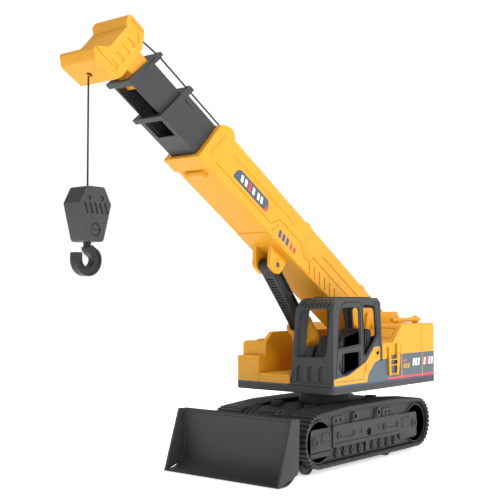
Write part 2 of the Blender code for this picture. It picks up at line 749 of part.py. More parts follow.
def cab_block(inset):
    """The cab's plan, drawn up: its inner front corner leans inwards."""
    front, rear = HOUSE_FRONT_Y + inset, CAB_REAR_Y - inset
    outer, inner = HOUSE_HALF_WIDTH - inset, CAB_INNER_X + inset
    low_z, high_z = HOUSE_BOTTOM_Z + HOUSE_BASE_HEIGHT + GAP, CAB_TOP_Z + 0.004
    if inset:
        low_z -= 0.004
    bm = bmesh.new()
    rings = []
    for z, corner in ((low_z, CAB_CORNER_LOW_X), (high_z, CAB_CORNER_TOP_X)):
        plan = [
            (corner + inset * 1.2, front), (outer, front), (outer, rear),
            (inner, rear), (inner, CAB_CORNER_REAR_Y + inset * 0.6),
        ]
        rings.append([bm.verts.new((x, y, z)) for x, y in plan])
    bm.faces.new(rings[0])
    bm.faces.new(rings[1])
    count = len(rings[0])
    for k in range(count):
        n = (k + 1) % count
        bm.faces.new((rings[0][k], rings[0][n], rings[1][n], rings[1][k]))
    bmesh.ops.triangulate(bm, faces=bm.faces)
    bmesh.ops.recalc_face_normals(bm, faces=bm.faces)
    return bm


def cab_profile(inset):
    """The cab's side outline, drawn across: a rounded roof and a rear that leans forwards."""
    low = HOUSE_BOTTOM_Z
    top = CAB_TOP_Z - inset
    outline = rounded(
        [
            (HOUSE_FRONT_Y + inset, low), (CAB_REAR_Y - inset, low), (CAB_REAR_Y - inset, 0.100),
            (0.0100 - inset, top, 0.006), (HOUSE_FRONT_Y + inset, top, 0.0115),
        ],
        steps=6,
    )
    return prism(outline, 0.0, 0.070)


DOOR_WINDOW = [(-0.0561, 0.1036, 0.002), (-0.0211, 0.1065, 0.002), (-0.0229, 0.1392, 0.005), (-0.0513, 0.1387, 0.006)]
DOOR_LOWER = [
    (-0.0547, 0.0865, 0.003), (-0.0487, 0.0805, 0.003), (-0.0226, 0.0867, 0.002),
    (-0.0225, 0.0999, 0.002), (-0.0493, 0.0990, 0.005),
]
QUARTER = [(-0.0145, 0.0935, 0.002), (0.0076, 0.1135, 0.006), (0.0028, 0.1403, 0.003), (-0.0155, 0.1414, 0.003)]
FRONT_WINDOW = [(0.0146, 0.0955, 0.002), (0.0461, 0.0968, 0.004), (0.0509, 0.1375, 0.002), (0.0176, 0.1375, 0.009)]
PANEL = [
    (-0.0630, 0.0722), (-0.0110, 0.0722), (-0.0085, 0.0800, 0.006), (0.0020, 0.0888, 0.008),
    (0.0143, 0.0922), (0.0143, 0.1030), (0.0010, 0.1030, 0.004), (-0.0120, 0.0905, 0.012),
    (-0.0400, 0.0800, 0.020), (-0.0630, 0.0775),
]


def cab(slew):
    made = piece("cab_shell", cab_block(0.0), "dark_plastic", slew)
    combine(made, cab_profile(0.0), "INTERSECT")
    hollow = piece("cab_hollow", cab_block(CAB_WALL), "cord", slew)
    hollow.hide_render = True
    hollow.display_type = "WIRE"
    combine(hollow, cab_profile(CAB_WALL), "INTERSECT")
    modifier = made.modifiers.new("Hollow", "BOOLEAN")
    modifier.object = hollow
    side = HOUSE_HALF_WIDTH
    for outline in (DOOR_WINDOW, DOOR_LOWER, QUARTER):
        cut(made, prism(rounded(outline), side - 0.004, side + 0.004))
    for outline in (DOOR_WINDOW, QUARTER):
        cut(made, prism(rounded(outline), CAB_INNER_X - 0.012, CAB_INNER_X + 0.004))
    cut(made, prism(rounded(FRONT_WINDOW), HOUSE_FRONT_Y - 0.004, HOUSE_FRONT_Y + 0.004, "Y"))
    rear = [(CAB_INNER_X + 0.006, 0.112, 0.003), (side - 0.006, 0.112, 0.003),
            (side - 0.006, 0.138, 0.003), (CAB_INNER_X + 0.006, 0.138, 0.003)]
    cut(made, prism(rounded(rear), 0.006, 0.020, "Y"))
    cut(made, prism(PANEL_GROOVE, side - PANEL_THICKNESS - GAP, side + 0.004))
    piece(
        "cab_side_panel", prism(rounded(PANEL), side - PANEL_THICKNESS, side),
        "yellow_plastic", slew,
    )
    floor = HOUSE_BOTTOM_Z + HOUSE_BASE_HEIGHT + GAP
    seat = rounded(
        [
            (-0.0460, floor), (-0.0040, floor), (0.0060, 0.1180, 0.004), (-0.0040, 0.1200, 0.004),
            (-0.0120, 0.0950, 0.006), (-0.0440, 0.0930, 0.006),
        ]
    )
    piece("cab_seat", prism(seat, CAB_INNER_X + 0.0055, side - 0.0060), "black_plastic", slew)


def grown(outline, by):
    """The outline moved outwards by the same width all round."""
    area = sum(a[0] * b[1] - b[0] * a[1] for a, b in zip(outline, outline[1:] + outline[:1]))
    sign = 1.0 if area > 0 else -1.0
    moved = []
    for k, point in enumerate(outline):
        before = (Vector(point) - Vector(outline[k - 1])).normalized()
        after = (Vector(outline[(k + 1) % len(outline)]) - Vector(point)).normalized()
        normal = Vector((before.y + after.y, -before.x - after.x)).normalized() * sign
        lean = max(0.4, normal.dot(Vector((before.y, -before.x)) * sign))
        moved.append(tuple(Vector(point) + normal * by / lean))
    return moved


PANEL_GROOVE = grown(rounded(PANEL), GAP)


def house_trim(slew):
    """The ladder on the hood's side and the pipe along its roof."""
    x = HOUSE_HALF_WIDTH + GAP
    rails = []
    for y in (0.0255, 0.0405):
        rails.append(box((x, x + 0.0016), (y - 0.0011, y + 0.0011), (0.0770, 0.1015)))
    ladder = piece("ladder", rails[0], "yellow_plastic", slew)
    add(ladder, rails[1])
    for z in (0.0850, 0.0898):
        add(ladder, box((x + 0.0002, x + 0.0014), (0.0250, 0.0410), (z - 0.0006, z + 0.0006)))
    top = ROOF_Z + GAP
    radius = 0.0021
    pipe = turned(
        [
            (0.0560, 0.0), (0.0560, radius), (0.0630, radius), (0.0630, radius + 0.0008),
            (0.0660, radius + 0.0008), (0.0660, radius), (0.0950, radius), (0.0965, radius + 0.0009),
            (0.1005, radius + 0.0009), (0.1020, radius), (0.1085, radius * 0.8), (0.1085, 0.0),
        ],
        "Y", (0.040, 0.0, top + radius + 0.0009), 16,
    )
    piece("roof_pipe", pipe, "yellow_plastic", slew)


# Boom


def boom_point(s, t, x=0.0):
    """A boom point in the axes of the slew frame."""
    c, d = math.cos(BOOM_ELEVATION), math.sin(BOOM_ELEVATION)
    return (x, -s * c + t * d, BOOM_LINE_Z + s * d + t * c)


def reach(outline):
    """(s, t) points as the boom frame's (y, z)."""
    return [(-point[0], *point[1:]) for point in outline]


def raked(s, t, rake):
    return s - rake * t


def boom_tube(boom, pivot):
    radius = BOOM_PIVOT_T
    side = [
        (BOOM_PIVOT_S - radius, 0.0, radius * 0.98),
        (BOOM_FRONT_S, 0.0),
        (raked(BOOM_FRONT_S, BOOM_HEIGHT, COLLAR_RAKE), BOOM_HEIGHT),
        (BOOM_PIVOT_S - radius, BOOM_HEIGHT, radius * 0.98),
    ]
    solid = prism(rounded(reach(side), 6), -BOOM_HALF_WIDTH, BOOM_HALF_WIDTH)
    edges = [
        edge for edge in solid.edges
        if all(abs(vert.co.z - BOOM_HEIGHT) < 1e-5 for vert in edge.verts)
        and abs(edge.verts[0].co.x - edge.verts[1].co.x) < 1e-6
        and edge.calc_length() > 0.05
    ]
    bmesh.ops.bevel(
        solid, geom=edges, offset=BOOM_CHAMFER, segments=2, profile=0.5, affect="EDGES",
        clamp_overlap=True, material=-1,
    )
    made = piece("boom_tube", solid, "yellow_plastic", boom, pivot)
    wall = BOOM_WALL
    inside = BOOM_HALF_WIDTH - wall
    bore = reach(
        [(BOOM_PIVOT_S + 0.012, wall), (BOOM_FRONT_S + 0.01, wall),
         (BOOM_FRONT_S + 0.01, BOOM_HEIGHT - wall), (BOOM_PIVOT_S + 0.012, BOOM_HEIGHT - wall)]
    )
    cut(made, prism(bore, -inside, inside))
    cut(made, rod("X", (0, -BOOM_PIVOT_S, BOOM_PIVOT_T), BOOM_PIN_RADIUS + PIN_GAP, -0.03, 0.03, 20))
    cut(made, rod("X", (0, -WINCH_S, WINCH_T), WINCH_SHAFT_RADIUS + PIN_GAP, -0.03, 0.03, 16))
    cut(made, rod("Z", (CORD_X, -CORD_ENTRY_S, 0), CORD_RADIUS * 3, BOOM_HEIGHT - 0.004, 0.06, 14))
    return made


def boom_collar(boom, pivot):
    """The raked mouth frame that closes the gap round the first stage."""
    flare = COLLAR_FLARE
    out_x = BOOM_HALF_WIDTH + flare
    rear = COLLAR_FRONT_S - COLLAR_LENGTH
    side = [
        (raked(rear, -flare, COLLAR_RAKE), -flare), (raked(COLLAR_FRONT_S, -flare, COLLAR_RAKE), -flare, 0.001),
        (raked(COLLAR_FRONT_S, 0.0375, COLLAR_RAKE), 0.0375, 0.004), (rear - 0.0040, 0.0437, 0.008),
        (rear - 0.0110, 0.0384),
    ]
    made = piece("boom_collar", prism(rounded(reach(side)), -out_x, out_x), "yellow_plastic", boom, pivot)
    clear = BOOM_HALF_WIDTH + GAP
    end = BOOM_FRONT_S + GAP
    tube = [
        (rear - 0.030, -GAP), (end, -GAP), (raked(end, BOOM_HEIGHT + GAP, COLLAR_RAKE), BOOM_HEIGHT + GAP),
        (rear - 0.030, BOOM_HEIGHT + GAP),
    ]
    mouth_x = stage_1_half() + SLIDE_GAP
    mouth = [
        (rear - 0.03, STAGE_1_BOTTOM_T - SLIDE_GAP), (COLLAR_FRONT_S + 0.01, STAGE_1_BOTTOM_T - SLIDE_GAP),
        (COLLAR_FRONT_S + 0.01, STAGE_1_TOP_T + SLIDE_GAP), (rear - 0.03, STAGE_1_TOP_T + SLIDE_GAP),
    ]
    cut(made, prism(reach(tube), -clear, clear), prism(reach(mouth), -mouth_x, mouth_x))
    cut(made, rod("Y", (CORD_X, 0, CORD_T), CORD_RADIUS + PIN_GAP, -0.25, -0.19, 14))


def stage_1_half():
    return BOOM_HALF_WIDTH - BOOM_WALL - STAGE_1_SIDE_PLAY


def stage_2_half():
    return stage_1_half() - STAGE_1_WALL - STAGE_2_SIDE_PLAY


def stage(name, sizes, shoe, boom, pivot, channel):
    """A telescopic tube: a rear shoe, a raked front collar with a cord lug, and a hollow."""
    rear, collar, half, low, top, wall, front_low, front_x = sizes
    body = [(rear, low), (collar + 0.001, low), (raked(collar + 0.001, top, STAGE_RAKE), top), (rear, top)]
    made = piece(name, prism(reach(body), -half, half), "dark_plastic", boom, pivot)
    end = collar + STAGE_COLLAR_THICKNESS
    flare, flare_top = half + STAGE_COLLAR_FLARE, STAGE_COLLAR_TOP_T
    flare_low = low - STAGE_COLLAR_FLARE - 0.0003
    plate = [
        (raked(collar, flare_low, STAGE_RAKE), flare_low), (raked(end, flare_low, STAGE_RAKE), flare_low),
        (raked(end, flare_top, STAGE_RAKE), flare_top), (raked(collar, flare_top, STAGE_RAKE), flare_top),
    ]
    lug_top = flare_top + 0.0021
    lug = [
        (raked(collar, flare_top - 0.004, STAGE_RAKE) + 0.0010, flare_top - 0.004),
        (raked(end, flare_top - 0.004, STAGE_RAKE) - 0.0004, flare_top - 0.004),
        (raked(end, lug_top, STAGE_RAKE) - 0.0004, lug_top), (raked(collar, lug_top, STAGE_RAKE) + 0.0010, lug_top),
    ]
    add(made, prism(reach(plate), -flare, flare))
    add(made, prism(reach(lug), CORD_X - GUIDE_WIDTH / 2, CORD_X + GUIDE_WIDTH / 2))
    shoe_x, shoe_low, shoe_top = shoe
    add(made, box((-shoe_x, shoe_x), (-rear - SHOE_LENGTH, -rear), (shoe_low, shoe_top)))
    bore_low, bore_top, bore_x = low + wall, top - wall, half - wall
    hollow = [(rear - 0.01, bore_low), (collar - 0.012, bore_low), (collar - 0.012, bore_top), (rear - 0.01, bore_top)]
    cut(made, prism(reach(hollow), -bore_x, bore_x))
    mouth_low, mouth_top = front_low
    mouth = [(rear, mouth_low), (end + 0.01, mouth_low), (end + 0.01, mouth_top), (rear, mouth_top)]
    cut(made, prism(reach(mouth), -front_x, front_x))
    if channel:
        slot = [(rear + SHOE_LENGTH + 0.002, low - 0.001), (collar - 0.004, low - 0.001),
                (collar - 0.004, low + wall + 0.001), (rear + SHOE_LENGTH + 0.002, low + wall + 0.001)]
        cut(made, prism(reach(slot), -bore_x + 0.0004, bore_x - 0.0004))
    else:
        window = [(collar - 0.0200, low - 0.001), (collar - 0.0010, low - 0.001),
                  (collar - 0.0010, low + wall + 0.001), (collar - 0.0200, low + wall + 0.001)]
        cut(made, prism(reach(window), -0.0090, 0.0090))
    cut(made, rod("Y", (CORD_X, 0, CORD_T), CORD_RADIUS + PIN_GAP, -end - 0.01, -collar + 0.03, 14))


def stages(boom, pivot):
    boom_in = BOOM_HALF_WIDTH - BOOM_WALL - SLIDE_GAP
    one = stage_1_half()
    two = stage_2_half()
    shoe = (boom_in, BOOM_WALL + SLIDE_GAP, BOOM_HEIGHT - BOOM_WALL - SLIDE_GAP)
    gap = SLIDE_GAP
    sizes = (
        STAGE_1_REAR_S, STAGE_1_COLLAR_S, one, STAGE_1_BOTTOM_T, STAGE_1_TOP_T, STAGE_1_WALL,
        (STAGE_2_BOTTOM_T - gap, STAGE_2_TOP_T + gap), two + gap,
    )
    stage("stage_1", sizes, shoe, boom, pivot, False)
    shoe = (one - STAGE_1_WALL - gap, STAGE_1_BOTTOM_T + STAGE_1_WALL + gap, STAGE_1_TOP_T - STAGE_1_WALL - gap)
    low, top = STAGE_2_BOTTOM_T + STAGE_2_WALL, STAGE_2_TOP_T - STAGE_2_WALL
    sizes = (
        STAGE_2_REAR_S, STAGE_2_COLLAR_S, two, STAGE_2_BOTTOM_T, STAGE_2_TOP_T, STAGE_2_WALL,
        (low, top), two - STAGE_2_WALL,
    )
    stage("stage_2", sizes, shoe, boom, pivot, True)


HEAD_SIDE = [
    (0.3190, 0.0278), (0.3232, -0.0034, 0.002), (0.3268, -0.0092, 0.002), (0.3483, -0.0103, 0.004),
    (0.3546, -0.0039, 0.003), (0.3538, -0.0020, 0.001), (0.3435, 0.0071, 0.002), (0.3391, 0.0314),
    (0.3425, 0.0345, 0.0018), (0.3425, 0.0412, 0.0028), (0.3247, 0.0414, 0.004),
]
HEAD_INSIDE = [
    (0.3225, 0.0275), (0.3262, -0.0025), (0.3285, -0.0070), (0.3475, -0.0080),
    (0.3510, -0.0045), (0.3413, 0.0060), (0.3368, 0.0310), (0.3368, 0.0385), (0.3265, 0.0388),
]


def head(boom, pivot):
    made = piece(
        "boom_head", prism(rounded(reach(HEAD_SIDE), 5), -HEAD_HALF_WIDTH, HEAD_HALF_WIDTH),
        "yellow_plastic", boom, pivot,
    )
    neck_x = stage_2_half() - STAGE_2_WALL - GAP
    neck_top = STAGE_2_TOP_T - STAGE_2_WALL - GAP
    neck = [(0.2960, 0.0125), (0.3240, 0.0125), (0.3240, neck_top), (0.2960, neck_top)]
    add(made, prism(reach(neck), -neck_x, neck_x))
    inside = HEAD_HALF_WIDTH - HEAD_WALL
    cut(made, prism(reach(HEAD_INSIDE), -inside, inside))
    core = neck_x - 0.0016
    cut(made, prism(reach([(0.29, 0.0141), (0.326, 0.0141), (0.326, neck_top - 0.0016), (0.29, neck_top - 0.0016)]), -core, core))
    cut(made, rod("Y", (CORD_X, 0, CORD_T - 0.0043), CORD_RADIUS + 0.0008, -0.3300, -0.3150, 14))
    exit_point = cord_exit()
    cut(made, rod("Z", (0.0, exit_point[0], 0.0), 0.0024, exit_point[1] - 0.004, exit_point[1] + 0.004, 16))
    cut(made, rod("X", (0, -PULLEY_S, PULLEY_T), 0.0012 + PIN_GAP, -inside - 0.001, inside + 0.001, 14))
    centre = (0.0, -PULLEY_S, PULLEY_T)
    piece("pulley_axle", rod("X", centre, 0.0012, -inside - 0.0006, inside + 0.0006, 14), "steel", boom, centre)
    bore = 0.0012 + PIN_GAP
    groove = PULLEY_RADIUS - 0.0018
    profile = [
        (-0.0030, bore), (-0.0030, PULLEY_RADIUS), (-0.0018, PULLEY_RADIUS), (-0.0006, groove),
        (0.0006, groove), (0.0018, PULLEY_RADIUS), (0.0030, PULLEY_RADIUS), (0.0030, bore),
    ]
    piece("head_pulley", turned(profile, "X", centre, 24), "black_plastic", boom, centre)


def cord_exit():
    """The cord's exit under the head, in the boom frame's (y, z)."""
    c, d = math.cos(BOOM_ELEVATION), math.sin(BOOM_ELEVATION)
    y, z = HOOK_Y, CORD_EXIT_Z - BOOM_LINE_Z
    return (y * c - z * d, y * d + z * c)


def clevis(boom, pivot):
    """The two ears under the boom that hold the ram's upper pin."""
    inside = RAM_ROD_HALF_WIDTH + SLIDE_GAP
    outside = inside + CLEVIS_THICKNESS
    ear = rounded(
        [
            (RAM_PIN_S - 0.0110, -GAP), (RAM_PIN_S + 0.0170, -GAP),
            (RAM_PIN_S + 0.0078, RAM_PIN_T - 0.0062, 0.0045), (RAM_PIN_S - 0.0070, RAM_PIN_T - 0.0068, 0.0055),
        ],
        5,
    )
    base_x = inside + 0.001
    base = box((-base_x, base_x), (-RAM_PIN_S - 0.0160, -RAM_PIN_S + 0.0100), (-GAP - 0.0015, -GAP))
    made = piece("boom_clevis", base, "yellow_plastic", boom, pivot)
    add(made, prism(reach(ear), inside, outside), prism(reach(ear), -outside, -inside))
    centre = (0.0, -RAM_PIN_S, RAM_PIN_T)
    cut(made, rod("X", centre, RAM_PIN_RADIUS + PIN_GAP, -0.03, 0.03, 20))
    piece("ram_pin", rod("X", centre, RAM_PIN_RADIUS, -outside, outside, 20), "steel", boom, centre)


def cord_guide(name, s, boom, pivot):
    """A lug on the boom's top with an eye for the cord."""
    outline = rounded(
        [
            (s - 0.0045, BOOM_HEIGHT + GAP), (s + 0.0045, BOOM_HEIGHT + GAP),
            (s + 0.0030, CORD_T + 0.0022, 0.001), (s - 0.0030, CORD_T + 0.0022, 0.001),
        ]
    )
    low, high = CORD_X - GUIDE_WIDTH / 2, CORD_X + GUIDE_WIDTH / 2
    made = piece(name, prism(reach(outline), low, high), "yellow_plastic", boom, pivot)
    cut(made, rod("Y", (CORD_X, 0, CORD_T), CORD_RADIUS + PIN_GAP, -s - 0.01, -s + 0.01, 14))


def cord_run(name, start, end, parent, along_boom=True):
    """A straight run of the cord between two points, as a beveled curve."""
    curve = bpy.data.curves.new(name, "CURVE")
    curve.dimensions = "3D"
    spline = curve.splines.new("POLY")
    count = max(4, min(40, round((Vector(end) - Vector(start)).length / 0.004)))
    spline.points.add(count - 1)
    for k in range(count):
        point = Vector(start).lerp(Vector(end), k / (count - 1))
        spline.points[k].co = (*point, 1.0)
    curve.bevel_depth = CORD_RADIUS
    curve.bevel_resolution = 2
    curve.use_fill_caps = True
    curve.materials.append(material("cord"))
    made = bpy.data.objects.new(name, curve)
    bpy.context.scene.collection.objects.link(made)
    made.parent = parent
    return made


def cords(boom, slew):
    def at(s):
        return (CORD_X, -s, CORD_T)

    collar_front = raked(COLLAR_FRONT_S, CORD_T, COLLAR_RAKE)
    one_rear = raked(STAGE_1_COLLAR_S, CORD_T, STAGE_RAKE)
    two_rear = raked(STAGE_2_COLLAR_S, CORD_T, STAGE_RAKE)
    cord_run("cord_on_boom", at(CORD_ENTRY_S + 0.004), at(collar_front - GAP), boom)
    cord_run("cord_to_stage_1", at(collar_front), at(one_rear + 0.002), boom)
    cord_run("cord_to_stage_2", at(one_rear + 0.002 + GAP), at(two_rear + 0.002), boom)
    cord_run("cord_to_head", at(two_rear + 0.002 + GAP), at(HEAD_SIDE[0][0] - 0.0010), boom)
    low = BLOCK_TOP_Z + GAP
    cord_run("cord_drop", (0.0, HOOK_Y, CORD_EXIT_Z), (0.0, HOOK_Y, low), slew)


def winch(boom):
    centre = (0.0, -WINCH_S, WINCH_T)
    inside = BOOM_HALF_WIDTH - BOOM_WALL - 0.0012
    drum = [
        (-inside, WINCH_SHAFT_RADIUS + GAP), (-inside, WINCH_FLANGE_RADIUS), (-inside + 0.0014, WINCH_FLANGE_RADIUS),
        (-inside + 0.0014, WINCH_DRUM_RADIUS), (inside - 0.0014, WINCH_DRUM_RADIUS),
        (inside - 0.0014, WINCH_FLANGE_RADIUS), (inside, WINCH_FLANGE_RADIUS), (inside, WINCH_SHAFT_RADIUS + GAP),
    ]
    piece("winch_drum", turned(drum, "X", centre, 24), "black_plastic", boom, centre)
    knob_in = -BOOM_HALF_WIDTH - 0.0006
    knob_out = knob_in - WINCH_KNOB_WIDTH
    shaft = rod("X", centre, WINCH_SHAFT_RADIUS, knob_out + 0.0025, BOOM_HALF_WIDTH - 0.0005, 16)
    piece("winch_shaft", shaft, "steel", boom, centre)
    bore = WINCH_SHAFT_RADIUS + GAP
    knob = [
        (knob_in, bore), (knob_out + 0.002, bore), (knob_out + 0.002, 0.0), (knob_out, 0.0),
        (knob_out, WINCH_KNOB_RADIUS - 0.001), (knob_out + 0.001, WINCH_KNOB_RADIUS), (knob_in, WINCH_KNOB_RADIUS),
    ]
    piece("winch_knob", turned(knob, "X", centre, 24), "black_plastic", boom, centre)


# Ram


def ram(slew):
    """The rod hangs from the boom's clevis and slides in the barrel, whose foot floats in its fork."""
    pin = Vector(boom_point(RAM_PIN_S, RAM_PIN_T))
    foot = Vector((0.0, RAM_FOOT_Y, RAM_FOOT_Z))
    down = (foot - pin).normalized()
    tilt = math.atan2(down.y, -down.z)
    line = frame("ram_line", pin, slew, tilt)
    wide, deep = RAM_ROD_HALF_WIDTH, RAM_ROD_HALF_DEPTH
    bar = box((-wide, wide), (-deep, deep), (-RAM_ROD_LENGTH, 0.0))
    made = piece("ram_rod", bar, "black_plastic", line)
    add(made, rod("X", (0, 0, 0), RAM_EYE_RADIUS, -wide, wide, 24))
    pocket_depth = 0.0016
    for low, high in ((-0.0345, -0.0080), (-0.0655, -0.0370), (-0.098, -0.0680)):
        for x in ((wide - pocket_depth, wide + 0.001), (-wide - 0.001, -wide + pocket_depth)):
            cut(made, box(x, (-deep + 0.0017, deep - 0.0017), (low, high)))
    cut(made, rod("X", (0, 0, 0), RAM_PIN_RADIUS + PIN_GAP, -0.02, 0.02, 20))

    length = (foot - pin).length
    end = length + RAM_TAIL
    band = RAM_BARREL_RADIUS + 0.0009
    thin = RAM_BARREL_RADIUS
    tube = [
        (-RAM_MOUTH, RAM_BORE_RADIUS), (-RAM_MOUTH, band), (-RAM_MOUTH - 0.004, band),
        (-RAM_MOUTH - 0.004, thin), (-RAM_MOUTH - 0.013, thin), (-RAM_MOUTH - 0.013, band),
        (-RAM_MOUTH - 0.017, band), (-RAM_MOUTH - 0.017, thin), (-end, thin), (-end, RAM_BORE_RADIUS),
    ]
    barrel = piece("ram_barrel", turned(tube, "Z", (0, 0, 0), 28), "yellow_plastic", line)
    for side in (1, -1):
        span = sorted((side * (RAM_BORE_RADIUS + 0.0012), side * (RAM_BARREL_RADIUS + 0.0034)))
        add(barrel, rod("X", (0, 0, -length), RAM_TRUNNION_RADIUS, span[0], span[1], 16))


# Hook


def hook_path(share):
    """The hook's middle line: down the shank, round the bend and up to the tip."""
    cy, cz, radius = HOOK_Y - 0.0012, HOOK_RING_Z, HOOK_RING_RADIUS
    top = BLOCK_TOP_Z - BLOCK_HEIGHT
    if share < 0.3:
        u = share / 0.3
        a = Vector((HOOK_Y, top - 0.003))
        b = Vector((HOOK_Y + 0.0010, top - 0.0075))
        c = Vector((cy + radius, cz + 0.0058))
        d = Vector((cy + radius, cz))
        return a * (1 - u) ** 3 + b * 3 * u * (1 - u) ** 2 + c * 3 * u * u * (1 - u) + d * u**3
    if share > 0.88:
        return Vector((cy - radius, cz + HOOK_TIP_RISE * (share - 0.88) / 0.12))
    angle = -math.pi * (share - 0.3) / 0.58
    return Vector((cy + radius * math.cos(angle), cz + radius * math.sin(angle)))


def hook_width(share):
    """Half the hook's width: full at the bend's back, less at the tip."""
    return 0.0030 + 0.0005 * math.sin(math.pi * min(1.0, share / 0.75)) - 0.0002 * share


def hook(line):
    count = 26
    near, far = [], []
    for k in range(count + 1):
        share = k / count
        here = hook_path(share)
        ahead, back = hook_path(min(1.0, share + 0.01)), hook_path(max(0.0, share - 0.01))
        along_path = (ahead - back).normalized()
        across = Vector((-along_path.y, along_path.x)) * hook_width(share)
        near.append(tuple(here + across))
        far.append(tuple(here - across))
    outline = near + far[::-1]
    made = piece("hook", prism(outline, -HOOK_HALF_THICKNESS, HOOK_HALF_THICKNESS), "dark_plastic", line)
    top = BLOCK_TOP_Z - BLOCK_HEIGHT
    neck = HOOK_SHANK_RADIUS
    stem = [
        (top - 0.0045, 0.0), (top - 0.0045, neck), (top + 0.0060, neck), (top + 0.0060, neck + 0.0014),
        (top + 0.0080, neck + 0.0014), (top + 0.0080, 0.0),
    ]
    add(made, turned(stem, "Z", (0.0, HOOK_Y, 0.0), 20))


def hook_block(line):
    top, low = BLOCK_TOP_Z, BLOCK_TOP_Z - BLOCK_HEIGHT
    shoulder = BLOCK_HEIGHT * 0.31
    outline = rounded(
        [
            (HOOK_Y - 0.0072, low, 0.0030), (HOOK_Y + 0.0072, low, 0.0030),
            (HOOK_Y + BLOCK_HALF_WIDTH, top - shoulder, 0.0015), (HOOK_Y + 0.0080, top, 0.0030),
            (HOOK_Y - 0.0080, top, 0.0030), (HOOK_Y - BLOCK_HALF_WIDTH, top - shoulder, 0.0015),
        ]
    )
    half = BLOCK_HALF_THICKNESS
    made = piece("hook_block", prism(outline, -half, half), "dark_plastic", line)
    screw = (0.0, HOOK_Y, low + 0.0085)
    cut(made, rod("X", screw, 0.0045, half - 0.0018, half + 0.002, 24))
    neck = HOOK_SHANK_RADIUS + SLIDE_GAP
    socket = [
        (low - 0.001, 0.0), (low - 0.001, neck), (low + 0.0056, neck), (low + 0.0056, neck + 0.0014),
        (low + 0.0084, neck + 0.0014), (low + 0.0084, 0.0),
    ]
    cut(made, turned(socket, "Z", (0.0, HOOK_Y, 0.0), 20))
    head_end = half - 0.0004
    screw_head = piece(
        "block_screw", rod("X", screw, 0.0040, half - 0.0018 + GAP, head_end, 24), "dark_plastic", line
    )
    slot = box((half - 0.0011, half + 0.001), (HOOK_Y - 0.005, HOOK_Y + 0.005), (screw[2] - 0.0005, screw[2] + 0.0005))
    cut(screw_head, slot)


def build():
    clear_scene()
    ground = frame("slew_axis", (0.0, SLEW_Y, 0.0))
    chassis(ground)
    blade(ground)
    house(ground)
    bracket(ground)
    ram_bracket(ground)
    cab(ground)
    house_trim(ground)
    boom = frame("boom_line", (0.0, 0.0, BOOM_LINE_Z), ground, -BOOM_ELEVATION)
    pivot = (0.0, -BOOM_PIVOT_S, BOOM_PIVOT_T)
    boom_tube(boom, pivot)
    boom_collar(boom, pivot)
    clevis(boom, pivot)
    cord_guide("cord_guide_front", 0.0755, boom, pivot)
    cord_guide("cord_guide_rear", CORD_ENTRY_S + 0.010, boom, pivot)
    winch(boom)
    stages(boom, pivot)
    head(boom, pivot)
    cords(boom, ground)
    ram(ground)
    hook_block(ground)
    hook(ground)


build()
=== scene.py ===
# %% [markdown]
# A toy crawler crane in moulded plastic. The working frame, with every joint in it, is loaded
# first and stays as it is. Each piece that shows is then either a frame node with a better
# finish, or a new piece that stands in for the node: the node's own solid with grooves, vents
# and bosses carved into it, as a toolmaker would cut them into the mould.

import json
import math

import bmesh
import bpy
from mathutils import Matrix, Vector


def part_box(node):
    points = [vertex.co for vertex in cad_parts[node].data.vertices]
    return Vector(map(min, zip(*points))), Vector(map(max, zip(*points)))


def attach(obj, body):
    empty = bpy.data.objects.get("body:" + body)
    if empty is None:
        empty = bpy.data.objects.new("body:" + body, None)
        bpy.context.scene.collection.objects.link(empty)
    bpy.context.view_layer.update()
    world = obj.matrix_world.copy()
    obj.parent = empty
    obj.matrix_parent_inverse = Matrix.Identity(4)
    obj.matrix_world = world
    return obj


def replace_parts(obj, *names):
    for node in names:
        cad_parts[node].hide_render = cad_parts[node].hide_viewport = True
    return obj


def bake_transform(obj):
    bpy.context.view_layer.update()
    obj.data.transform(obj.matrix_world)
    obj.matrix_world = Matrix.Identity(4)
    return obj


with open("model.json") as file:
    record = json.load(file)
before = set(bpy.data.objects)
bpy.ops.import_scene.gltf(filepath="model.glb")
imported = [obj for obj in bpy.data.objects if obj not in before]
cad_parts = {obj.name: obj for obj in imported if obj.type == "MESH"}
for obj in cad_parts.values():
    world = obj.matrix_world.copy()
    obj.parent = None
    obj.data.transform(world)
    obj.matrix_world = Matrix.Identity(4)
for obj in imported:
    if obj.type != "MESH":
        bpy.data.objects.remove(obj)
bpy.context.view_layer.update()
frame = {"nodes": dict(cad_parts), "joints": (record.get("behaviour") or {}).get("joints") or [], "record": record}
joints = {joint["name"]: joint for joint in frame["joints"]}

# %% [markdown]
# The crane is laid out about the axis its house turns on, and the boom about its own line.
# Working in those axes keeps every size readable: on the boom, s runs towards the head and t
# runs up from the underside. Both are read off the joints, so nothing is fitted by hand.

# %% Working axes
SLEW = Vector(joints["slew"]["pos_m"])
SLEW.z = 0.0
BOOM_WAY = Vector(joints["stage_1_slide"]["axis"])
BOOM_TILT = math.atan2(BOOM_WAY.z, -BOOM_WAY.y)
BOOM_PIVOT = Vector(joints["luff"]["pos_m"])
PIVOT_S, PIVOT_T = -0.060, 0.018
TO_SLEW = Matrix.Translation(SLEW)
BOOM_TURN = Matrix.Rotation(-BOOM_TILT, 4, "X")
TO_BOOM = Matrix.Translation(BOOM_PIVOT) @ BOOM_TURN @ Matrix.Translation((0.0, PIVOT_S, -PIVOT_T))
RAM_WAY = Vector(joints["ram_stroke"]["axis"])
RAM_TURN = Matrix.Rotation(math.atan2(RAM_WAY.y, -RAM_WAY.z), 4, "X")
TO_RAM = Matrix.Translation(Vector(joints["ram_swing"]["pos_m"])) @ RAM_TURN
print(f"boom raised {math.degrees(BOOM_TILT):.1f} degrees")

# %% [markdown]
# Most moulded shapes are an outline with rounded corners, drawn out straight. A face is made
# from the outline, and bmesh's extrude turns it into a slab. Boom outlines are given as (s, t).

# %% Outlines and slabs
GAP = 0.0002


